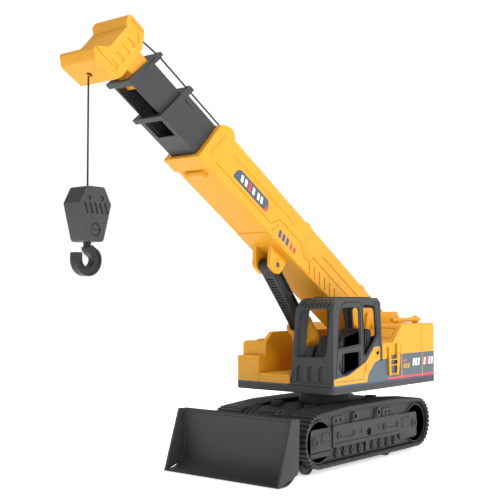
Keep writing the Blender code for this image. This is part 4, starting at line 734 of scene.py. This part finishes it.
relief = [(-0.0205, -0.0570), (0.0040, -0.0570), (-0.0010, -0.0420), (-0.0205, -0.0420)]
plate = slab([Vector(point) for point in relief], 0.0790, 0.0803, "Z")
finish("front_deck", carved(node_solid("house_deck"), [plate]), YELLOW, "house", 0.0003, ["house_deck"])
grille = [slab(strip((x, 0.0850), (x, 0.1080), 0.0012), 0.1138, 0.1160, "Y") for x in (-0.018, -0.012, -0.006, 0.0, 0.006, 0.012)]
finish("rear_wall", carved(node_solid("rear_hood"), cut=grille), YELLOW, "house", 0.0005, ["rear_hood"])
finish("base_tray", node_solid("house_base"), DARK, "house", 0.0007, ["house_base"], segments=3)
print("seams and hatches cut")

# %% [markdown]
# The film on the side: navy, slate, a red stripe, and slanted bars where a toy would carry
# lettering. They say nothing. Each layer stands 0.1 mm further out, so none flickers.

# %% Coloured films
band = rounded([(-0.0098, 0.0716), (0.1100, 0.0716), (0.1100, 0.0938), (0.0245, 0.0938), (0.0235, 0.0905),
                (0.0152, 0.0905), (0.0022, 0.0884, 0.008), (-0.0078, 0.0798, 0.006)])
finish("band_edge_film", slab(grown(band, 0.0006), SIDE - 0.0006, SIDE + FILM), NAVY, "house", 0)
finish("band_film", slab(band, SIDE - 0.0006, SIDE + 2 * FILM), SLATE, "house", 0)
stripe = [Vector(p) for p in ((0.0235, 0.0722), (0.1100, 0.0718), (0.1100, 0.0738), (0.0235, 0.0736))]
finish("red_stripe_film", slab(stripe, SIDE - 0.0006, SIDE + 3 * FILM), RED, "house", 0)
for place, y in (("front", 0.0487), ("rear", 0.0875)):
    gap = slab(strip((y, 0.0716), (y, 0.0944), 0.0009), SIDE - 0.0006, SIDE + 4 * FILM)
    finish(f"band_gap_{place}", gap, YELLOW, "house", 0)


def bars(starts, low, high, width, lean):
    """Slanted bars side by side, in (y, z)."""
    return [[Vector((y, low)), Vector((y + width, low)), Vector((y + width + lean, high)), Vector((y + lean, high))]
            for y in starts]


def film(name, outlines, layer, material, body="house", place=TO_SLEW, base=SIDE):
    bm = bmesh.new()
    for outline in outlines:
        part = slab(outline, base - 0.0006, base + layer * FILM, "X", place)
        mesh = bpy.data.meshes.new("film")
        part.to_mesh(mesh)
        part.free()
        bm.from_mesh(mesh)
        bpy.data.meshes.remove(mesh)
    return finish(name, bm, material, body, 0)


film("white_bars", bars((0.0690, 0.0738, 0.0786, 0.0900, 0.0996, 0.1044), 0.0822, 0.0892, 0.0030, 0.0012), 3, WHITE)
film("red_bar", bars((0.0948,), 0.0822, 0.0902, 0.0030, 0.0020), 3, RED)
film("yellow_bars", bars((0.0520, 0.0560, 0.0600), 0.0808, 0.0850, 0.0024, 0.0006), 3, YELLOW)
film("red_mark", bars((0.0520, 0.0548), 0.0868, 0.0892, 0.0018, 0.0010), 3, RED)
navy_line = ring_slab(rounded([(-SIDE - 0.0002, FRONT - 0.0002, 0.004), (SIDE + 0.0002, FRONT - 0.0002, 0.004),
                               (SIDE + 0.0002, 0.1145, 0.004), (-SIDE - 0.0002, 0.1145, 0.004)]),
                      rounded([(-SIDE + 0.001, FRONT + 0.001, 0.003), (SIDE - 0.001, FRONT + 0.001, 0.003),
                               (SIDE - 0.001, 0.1133, 0.003), (-SIDE + 0.001, 0.1133, 0.003)]), 0.0706, 0.0718, "Z")
finish("navy_line", carved(navy_line, cut=[block((0.006, SIDE - 0.001), (-0.070, -0.060), (0.069, 0.074))]), NAVY, "house", 0)
print("films: slate band, stripe and bars")

# %% [markdown]
# The cab is one dark moulding. Its windows are open, each in a shallow step, and a groove
# runs round the door. The front has three round-topped recesses, and the roof's curved front
# edge two rows of slanted slots.

# %% Cab
door = rounded([(-0.0600, 0.0745, 0.002), (-0.0168, 0.0775, 0.002), (-0.0182, 0.1432, 0.007), (-0.0530, 0.1432, 0.011)])
window = rounded([(-0.0561, 0.1036, 0.002), (-0.0211, 0.1065, 0.002), (-0.0229, 0.1392, 0.005), (-0.0513, 0.1387, 0.006)])
lower = rounded([(-0.0547, 0.0865, 0.003), (-0.0487, 0.0805, 0.003), (-0.0226, 0.0867, 0.002), (-0.0225, 0.0999, 0.002),
                 (-0.0493, 0.0990, 0.005)])
quarter = rounded([(-0.0145, 0.0935, 0.002), (0.0076, 0.1135, 0.006), (0.0028, 0.1403, 0.003), (-0.0155, 0.1414, 0.003)])
screen = rounded([(0.0146, 0.0955, 0.002), (0.0461, 0.0968, 0.004), (0.0509, 0.1375, 0.002), (0.0176, 0.1375, 0.009)])
swoosh = rounded([(-0.0630, 0.0722), (-0.0110, 0.0722), (-0.0085, 0.0800, 0.006), (0.0020, 0.0888, 0.008),
                  (0.0143, 0.0922), (0.0143, 0.1030), (0.0010, 0.1030, 0.004), (-0.0120, 0.0905, 0.012),
                  (-0.0400, 0.0800, 0.020), (-0.0630, 0.0775)])
cuts = [ring_slab(grown(door, 0.0007), door, SIDE - 0.0009, SIDE + 0.001)]
cuts += [slab(grown(outline, 0.0011), SIDE - 0.0008, SIDE + 0.001) for outline in (window, lower, quarter)]
cuts.append(slab(grown(screen, 0.0010), FRONT - 0.001, FRONT + 0.0008, "Y"))
for x in (0.0150, 0.0270, 0.0385):
    vent = rounded([(x, 0.0752, 0.0008), (x + 0.0050, 0.0752, 0.0008), (x + 0.0050, 0.0880, 0.0008), (x, 0.0880, 0.0036)])
    cuts.append(slab(vent, FRONT - 0.001, FRONT + 0.0016, "Y"))
TO_BROW = TO_SLEW @ Matrix.Translation((0.0, FRONT + 0.0034, 0.1438)) @ Matrix.Rotation(math.radians(45.0), 4, "X")
for row, low in ((0, -0.0052), (1, 0.0006)):
    for index in range(8):
        x = 0.0188 + 0.0040 * index + 0.0006 * row
        slot = [(x, low), (x + 0.0021, low), (x + 0.0033, low + 0.0044), (x + 0.0012, low + 0.0044)]
        cuts.append(slab([Vector(point) for point in slot], -0.0018, 0.006, "Z", TO_BROW))
roof = rounded([(0.0205, -0.0470, 0.004), (0.0505, -0.0470, 0.004), (0.0505, 0.0040, 0.004), (0.0205, 0.0040, 0.004)])
adds = [slab(roof, 0.1460, 0.1481, "Z"), block((0.0085, SIDE - 0.0006), (FRONT - 0.0010, FRONT + 0.001), (0.0712, 0.0737))]
adds += [peg((0.0052, 0.1418), 0.0016, SIDE - 0.001, SIDE + 0.0007), peg((-0.0178, 0.1100), 0.0010, SIDE - 0.001, SIDE + 0.0006)]
adds.append(slab(rounded([(0.0110, 0.0900), (0.0146, 0.0900), (0.0132, 0.1100), (0.0108, 0.1440, 0.002), (0.0085, 0.1440)]),
                 SIDE - 0.001, SIDE + 0.0006))
finish("cab_frame", carved(node_solid("cab_shell"), adds, cuts), DARK, "house", 0.00025, ["cab_shell"])

side_x = SIDE + 0.0006
adds = [peg((0.0060, 0.0978), 0.0042, SIDE - 0.0005, side_x, sides=32)]
adds += [slab(rounded([(-0.0142, 0.0815, 0.0006), (-0.0118, 0.0815, 0.0006), (-0.0118, 0.0892, 0.0006), (-0.0136, 0.0892, 0.0006)]),
              SIDE - 0.0005, SIDE + 0.0012)]
cuts = [ring_slab(disc(0.0060, 0.0978, 0.0034, 28), disc(0.0060, 0.0978, 0.0026, 28), side_x - 0.0003, side_x + 0.001)]
cuts += strips([(0.0040, 0.0978), (0.0080, 0.0978)], 0.0008, side_x - 0.0005, side_x + 0.001)
cuts += strips([(0.0060, 0.0960), (0.0060, 0.0996)], 0.0008, side_x - 0.0005, side_x + 0.001)
cuts += strips([(-0.0600, 0.0752), (-0.0165, 0.0752), (-0.0160, 0.0840)], 0.0005, SIDE - 0.0004, SIDE + 0.001)
finish("swoosh_panel", carved(slab(swoosh, SIDE - 0.0010, SIDE + 2 * FILM), adds, cuts), YELLOW, "house", 0.00012, ["cab_side_panel"])
finish("swoosh_edge_film", slab(grown(swoosh, 0.0007), SIDE - 0.0009, SIDE + 0.00004), NAVY, "house", 0)
print("cab: windows, vents, slots and panel")

# %% [markdown]
# Through the windows shows a ribbed black seat, as tall as the lower sash. The ladder on the
# hood's side has two flat rails of unequal height and three rungs.

# %% Seat and ladder
seat = rounded([(-0.0480, 0.0718), (-0.0040, 0.0718), (0.0060, 0.1180, 0.004), (-0.0040, 0.1195, 0.004),
                (-0.0120, 0.1150, 0.006), (-0.0400, 0.1135, 0.008), (-0.0490, 0.0980, 0.006)])
low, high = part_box("cab_seat")
cuts = [slab(strip((-0.0460 + 0.0042 * k, 0.0735), (-0.0435 + 0.0042 * k, 0.1180), 0.0016), high[0] - 0.0014, high[0] + 0.001)
        for k in range(11)]
cuts += [slab([Vector(p) for p in ((-0.0480, 0.1165), (-0.0100, 0.1175), (-0.0100, 0.1122), (-0.0480, 0.1110))], x, x + 0.0012)
         for x in (0.0280, 0.0320, 0.0360, 0.0400, 0.0440)]
finish("ribbed_seat", carved(slab(seat, low[0], high[0]), cut=cuts), TRACK, "house", 0.0002, ["cab_seat"])

x = SIDE + GAP
rails = [rounded([(0.0246, 0.0757, 0.001), (0.0272, 0.0757, 0.001), (0.0268, 0.1005, 0.001), (0.0232, 0.1030, 0.001)]),
         rounded([(0.0378, 0.0757, 0.001), (0.0400, 0.0757, 0.001), (0.0428, 0.0880, 0.002), (0.0428, 0.1045, 0.001),
                  (0.0378, 0.1045, 0.001)])]
ladder = slab(rails[0], x, x + 0.0020)
rest = [slab(rails[1], x, x + 0.0020)]
rest += [block((x + 0.0004, x + 0.0014), (0.0260, 0.0395), (z - 0.0006, z + 0.0006)) for z in (0.0768, 0.0850, 0.0902)]
finish("hood_ladder", carved(ladder, rest), YELLOW, "house", 0.0004, ["ladder"])

pipe = carved(node_solid("roof_pipe"), [ball((0.040, 0.1000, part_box("roof_pipe")[1].z - 0.0029), 0.0040)])
finish("exhaust_pipe", pipe, YELLOW, "house", 0.0003, ["roof_pipe"])
for node, material in (("boom_bracket", YELLOW), ("ram_bracket", YELLOW)):
    finish(f"{node}_cheeks", node_solid(node), material, "house", 0.0005, [node], segments=3)
print("seat, ladder and pipe")

# %% [markdown]
# Both sides of the boom carry the same relief: a long round-ended groove near the top, a
# stepped line below it that dips round a disc, and six slanted slots near the pivot. Each is
# cut into the tube's own solid from both sides at once.

# %% Boom tube
BOOM_SIDE = 0.0178


def together(solids):
    """Several solids that don't touch, as one."""
    bm = bmesh.new()
    for solid in solids:
        mesh = bpy.data.meshes.new("part")
        solid.to_mesh(mesh)
        solid.free()
        bm.from_mesh(mesh)
        bpy.data.meshes.remove(mesh)
    return bm


def both_sides(outline, depth, side=BOOM_SIDE, rise=0.001):
    """The outline as a cutter on each side of the boom."""
    return [boom_slab(outline, side - depth, side + rise), boom_slab(outline, -side - rise, -side + depth)]


def arc(centre, radius, start, end, steps=10):
    turn = [math.radians(start + (end - start) * k / steps) for k in range(steps + 1)]
    return [Vector((centre[0] + radius * math.cos(a), centre[1] + radius * math.sin(a))) for a in turn]


def ribbon(points, width):
    """A line of even width through the points, as one outline."""
    points = [Vector(point) for point in points]
    left, right = [], []
    for index, point in enumerate(points):
        before = points[max(0, index - 1)]
        after = points[min(len(points) - 1, index + 1)]
        first = (point - before).normalized() if index else (after - point).normalized()
        last = (after - point).normalized() if index < len(points) - 1 else first
        normal = Vector((-(first.y + last.y), first.x + last.x)).normalized()
        reach = width / 2 / max(0.5, normal.dot(Vector((-first.y, first.x))))
        left.append(point + normal * reach)
        right.append(point - normal * reach)
    return left + right[::-1]


PAD = (0.0700, 0.0200)
step_line = [(0.2135, 0.0080), (0.1260, 0.0080), (0.1190, 0.0175), (0.0812, 0.0175)]
step_line += [tuple(point) for point in arc(PAD, 0.0108, -14, -166)] + [(0.0585, 0.0165), (-0.0300, 0.0165)]
cuts = []
for outline in (stadium((0.1960, 0.0252), (0.1020, 0.0252), 0.0019), stadium((0.0470, 0.0242), (-0.0380, 0.0242), 0.0019)):
    cuts += both_sides(outline, 0.0008)
cuts += both_sides(ribbon(step_line, 0.0009), 0.0008)
cuts += both_sides(ribbon([(0.1178, 0.0125), (0.1236, 0.0020)], 0.0010), 0.0007)
vents = [strip((0.0120 + 0.0092 * k, 0.0018), (0.0172 + 0.0092 * k, 0.0104), 0.0017) for k in range(6)]
cuts.append(together([solid for vent in vents for solid in both_sides(vent, 0.0012)]))
adds = both_sides(disc(PAD[0], PAD[1] + 0.0030, 0.0072, 36), 0.0005, rise=0.0005)
adds += both_sides(ribbon(arc(PAD, 0.0086, -25, -155), 0.0013), 0.0005, rise=0.0005)
adds.append(boom_slab([(-0.0400, 0.0006), (0.1250, 0.0006), (0.1250, -0.0009), (-0.0400, -0.0009)], -0.0172, 0.0172))
adds.append(slab(on_boom(disc(0.2085, -0.0012, 0.0036, 28)), -0.0095, 0.0085, "X", TO_BOOM))
adds.append(slab(on_boom(disc(0.2085, -0.0012, 0.0024, 24)), -0.0101, 0.0091, "X", TO_BOOM))
finish("boom_body", carved(node_solid("boom_tube"), adds, cuts), YELLOW, "boom", 0.00025, ["boom_tube"])
print("boom carved with", len(cuts), "cutters")

# %% [markdown]
# The mouth frame, the clevis and the cord guides are the frame's solids with wider rounded
# edges. A clip with a round boss is moulded on each side of the mouth.

# %% Boom fittings
adds = []
for outline in (disc(0.2178, 0.0132, 0.0025, 24), strip((0.2170, 0.0160), (0.2132, 0.0300), 0.0022)):
    adds += both_sides(outline, 0.0005, 0.0193, 0.0011)
finish("boom_mouth", carved(node_solid("boom_collar"), adds), YELLOW, "boom", 0.0005, ["boom_collar"], segments=3)
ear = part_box("boom_clevis")[1][0]
pin = (0.09255, -0.0120)
rims = [carved(boom_slab(disc(*pin, 0.0046, 28), low, high), cut=[boom_slab(disc(*pin, 0.0024, 20), low - 0.001, high + 0.001)])
        for low, high in ((ear - 0.0005, ear + 0.0009), (-ear - 0.0009, -ear + 0.0005))]
finish("clevis_ears", carved(node_solid("boom_clevis"), rims), YELLOW, "boom", 0.0005, ["boom_clevis"], segments=3)
finish("clevis_pin", carved(node_solid("ram_pin")), NAVY, "boom", 0.0003, ["ram_pin"])
for node in ("cord_guide_front", "cord_guide_rear"):
    finish(f"{node}_eye", node_solid(node), YELLOW, "boom", 0.0003, [node])

pill = rounded([(0.1382, 0.0122), (0.1870, 0.0122, 0.0008), (0.1842, 0.0214, 0.0062), (0.1402, 0.0214, 0.0046), (0.1370, 0.0168, 0.001)])
red_end = [Vector(point) for point in ((0.1364, 0.0164), (0.1392, 0.0114), (0.1412, 0.0122), (0.1384, 0.0180))]


def boom_film(name, outlines, layer, material):
    solids = [boom_slab(outline, BOOM_SIDE - 0.0006, BOOM_SIDE + layer * FILM) for outline in outlines]
    return finish(name, together(solids), material, "boom", 0)


boom_film("boom_badge_edge", [grown(pill, 0.0007)], 1, NAVY)
boom_film("boom_badge", [pill], 2, SLATE)
boom_film("boom_badge_end", [red_end], 3, RED)
boom_film("boom_badge_bars", bars((0.1452, 0.1502, 0.1576, 0.1690, 0.1748), 0.0138, 0.0194, 0.0032, 0.0014), 3, WHITE)
boom_film("boom_badge_slash", bars((0.1636,), 0.0134, 0.0202, 0.0028, 0.0018), 3, RED)
boom_film("boom_blue_bars", bars((0.0970, 0.1030, 0.1090), 0.0040, 0.0105, 0.0038, 0.0010), 1, NAVY)
boom_film("boom_red_bars", bars((0.0850, 0.0905), 0.0040, 0.0088, 0.0034, 0.0008), 1, RED)
print("boom fittings and films")

# %% [markdown]
# The ram's rod is a square black bar, ribbed on the face that looks forward. Its barrel is
# yellow, with small rectangular recesses round the mouth.

# %% Ram
low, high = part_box("ram_rod")
rod_x = (high[0] - low[0]) / 2
rod_y = 0.00575
ribs = [block((-rod_x + 0.0022, rod_x - 0.0022), (-rod_y - 0.002, -rod_y + 0.0010), (-z - 0.0012, -z), TO_RAM)
        for z in [0.0110 + 0.0030 * k for k in range(28)]]
finish("ribbed_rod", carved(node_solid("ram_rod"), cut=[together(ribs)]), BLACK, "ram_rod", 0.0002, ["ram_rod"])
notches = []
for turn in (-50, 50, 130, -130):
    spot = TO_RAM @ Matrix.Rotation(math.radians(turn), 4, "Z")
    notches += [block((-0.0022, 0.0022), (-0.0135, -0.0101), (-high_z - size, -high_z), spot)
                for high_z, size in ((0.0745, 0.0030), (0.0885, 0.0040), (0.0965, 0.0090))]
finish("ram_tube", carved(node_solid("ram_barrel"), cut=[together(notches)]), YELLOW, "ram_barrel", 0.0003, ["ram_barrel"])
print("ram ribs:", len(ribs))

# %% [markdown]
# The two telescopic stages are plain satin tubes with a raked collar each. The head is one
# yellow moulding: on its sides an arc and four short angled slots, a long slot under its top
# edge, and a short bent groove low at its front.

# %% Stages and head
STAGE = plastic("stage_grey", (0.034, 0.0355, 0.037), 0.40, 0.07, 2200.0, 0.18)
lines = both_sides(strip((0.2480, 0.0300), (0.2630, 0.0300), 0.0005), 0.0003, 0.01345)
finish("first_stage", carved(node_solid("stage_1"), cut=lines), STAGE, "stage_1", 0.0003, ["stage_1"])
finish("second_stage", node_solid("stage_2"), STAGE, "stage_2", 0.0003, ["stage_2"])

HEAD_SIDE = 0.0185


def slot_mid(t):
    """s of the middle of the row of slots, at height t."""
    return 0.3295 + 0.15 * (0.031 - t)


lines = [ribbon(arc((slot_mid(0.031), 0.0295), 0.0044, 95, 205), 0.0014)]
for t in (0.0245, 0.0165, 0.0085, 0.0005):
    middle = slot_mid(t)
    lines.append(ribbon([(middle + 0.0040, t), (middle - 0.0040, t), (middle - 0.0036, t - 0.0030)], 0.0012))
lines.append(strip((0.3264, 0.0385), (0.3388, 0.0385), 0.0009))
lines.append(ribbon([(0.3484, 0.0002), (0.3462, 0.0000), (0.3462, -0.0068)], 0.0010))
cuts = [solid for line in lines for solid in both_sides(line, 0.0009, HEAD_SIDE)]
finish("head_moulding", carved(node_solid("boom_head"), cut=cuts), YELLOW, "stage_2", 0.0004, ["boom_head"], segments=3)
finish("sheave", node_solid("head_pulley"), BLACK, "pulley", 0.0002, ["head_pulley"])
print("head slots:", len(lines))

# %% [markdown]
# The hook block is a weight with two dimples, five slanted slots and a slotted screw on its
# face. The hook under it has a channel along each side, which leaves a flange all round.

# %% Hook block and hook
HOOK_Y = -0.2910
low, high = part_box("hook_block")
FACE = high[0]
slots = []
for side in (1, -1):
    span = sorted((side * (FACE - 0.0012), side * (FACE + 0.001)))
    slots += [slab(disc(y, 0.2182, 0.0019, 20), *span) for y in (HOOK_Y - 0.0062, HOOK_Y + 0.0055)]
    slots += [slab(strip((HOOK_Y - 0.0098 + 0.0046 * k, 0.2142), (HOOK_Y - 0.0078 + 0.0046 * k, 0.2082), 0.0017), *span)
              for k in range(5)]
block_solid = carved(node_solid("hook_block"), cut=[together(slots)])
finish("block_body", block_solid, STAGE, "hook_block", 0.0003, ["hook_block"], segments=3)
finish("block_screw_head", node_solid("block_screw"), STAGE, "hook_block", 0.0002, ["block_screw"])

RING_Z, RING_RADIUS = 0.1752, 0.0087
RING_Y = HOOK_Y - 0.0012


def hook_line(share):
    """The hook's middle line: down the shank, round the bend and up to the tip."""
    if share < 0.3:
        u = share / 0.3
        a, b = Vector((HOOK_Y, 0.1845)), Vector((HOOK_Y + 0.0010, 0.1800))
        c, d = Vector((RING_Y + RING_RADIUS, RING_Z + 0.0058)), Vector((RING_Y + RING_RADIUS, RING_Z))
        return a * (1 - u) ** 3 + b * 3 * u * (1 - u) ** 2 + c * 3 * u * u * (1 - u) + d * u**3
    angle = -math.pi * (share - 0.3) / 0.58
    return Vector((RING_Y + RING_RADIUS * math.cos(angle), RING_Z + RING_RADIUS * math.sin(angle)))


low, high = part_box("hook")
thick = (high[0] - low[0]) / 2
route = [hook_line(0.16 + 0.70 * k / 24) for k in range(25)]
channels = [slab(ribbon(route, 0.0034), thick - 0.0016, thick + 0.001), slab(ribbon(route, 0.0034), -thick - 0.001, -thick + 0.0016)]
finish("flanged_hook", carved(node_solid("hook"), cut=channels), BLACK, "hook", 0.0003, ["hook"], segments=3)
print("hook block: 2 dimples, 5 slots a side")

# %% [markdown]
# The hoist cord is held along the boom, so those runs ride the boom or stretch from one stage
# to the next. Below the head it hangs free: that run is a straight cord from the head down to
# the block.

# %% Cords
CORD_RADIUS = 0.00065
CORD_X, CORD_T = 0.0105, 0.0415


def tube(points, radius, sides=12):
    """A closed round tube through the points."""
    points = [Vector(point) for point in points]
    way = (points[-1] - points[0]).normalized()
    across = way.cross(Vector((1.0, 0.0, 0.0)) if abs(way.x) < 0.9 else Vector((0.0, 1.0, 0.0))).normalized()
    other = way.cross(across)
    bm = bmesh.new()
    rings = []
    for point in points:
        turn = [2 * math.pi * k / sides for k in range(sides)]
        rings.append([bm.verts.new(point + (across * math.cos(a) + other * math.sin(a)) * radius) for a in turn])
    for near, far in zip(rings, rings[1:]):
        for k in range(sides):
            bm.faces.new((near[k - 1], near[k], far[k], far[k - 1]))
    bm.faces.new(rings[0])
    bm.faces.new(rings[-1][::-1])
    bmesh.ops.recalc_face_normals(bm, faces=bm.faces)
    return bm


def cord_mesh(name, points, nodes):
    made = loose_object(name, tube(points, CORD_RADIUS))
    made.data.materials.append(CORD)
    made.data.shade_smooth()
    made.data.set_sharp_from_angle(angle=math.radians(50))
    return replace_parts(made, *nodes)


def line_points(start, end, count):
    start, end = Vector(start), Vector(end)
    return [start.lerp(end, k / (count - 1)) for k in range(count)]


def on_line(s, t=CORD_T, x=CORD_X):
    return TO_BOOM @ Vector((x, -s, t))


mouth, first, second = 0.2207, 0.2605, 0.2988
head_in = 0.3205
run = cord_mesh("cord_along_boom", line_points(on_line(-0.0360), on_line(mouth), 60), ["cord_on_boom"])
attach(run, "boom")
run = cord_mesh("cord_over_first", line_points(on_line(mouth), on_line(first), 24), ["cord_to_stage_1"])
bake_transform(run)
run = cord_mesh("cord_over_second", line_points(on_line(first), on_line(second), 24), ["cord_to_stage_2"])
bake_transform(run)
last = line_points(on_line(second), on_line(head_in, 0.0385), 8)
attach(cord_mesh("cord_into_head", last, ["cord_to_head"]), "stage_2")

top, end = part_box("cord_drop")[1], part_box("cord_drop")[0]
exit_point = Vector((0.0, SLEW.y + HOOK_Y, 0.3060))
low_point = Vector((0.0, SLEW.y + HOOK_Y, end[2]))
drop_points = line_points(exit_point, low_point, 40)
drop = cord_mesh("hook_cord", drop_points, ["cord_drop"])
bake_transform(drop)
for node, material, body in (("pulley_axle", STEEL, "stage_2"), ("winch_knob", DARK, "winch")):
    finish(f"{node}_smooth", node_solid(node), material, body, 0.0003, [node])
print(f"drop {1000 * (low_point - exit_point).length:.1f} mm")
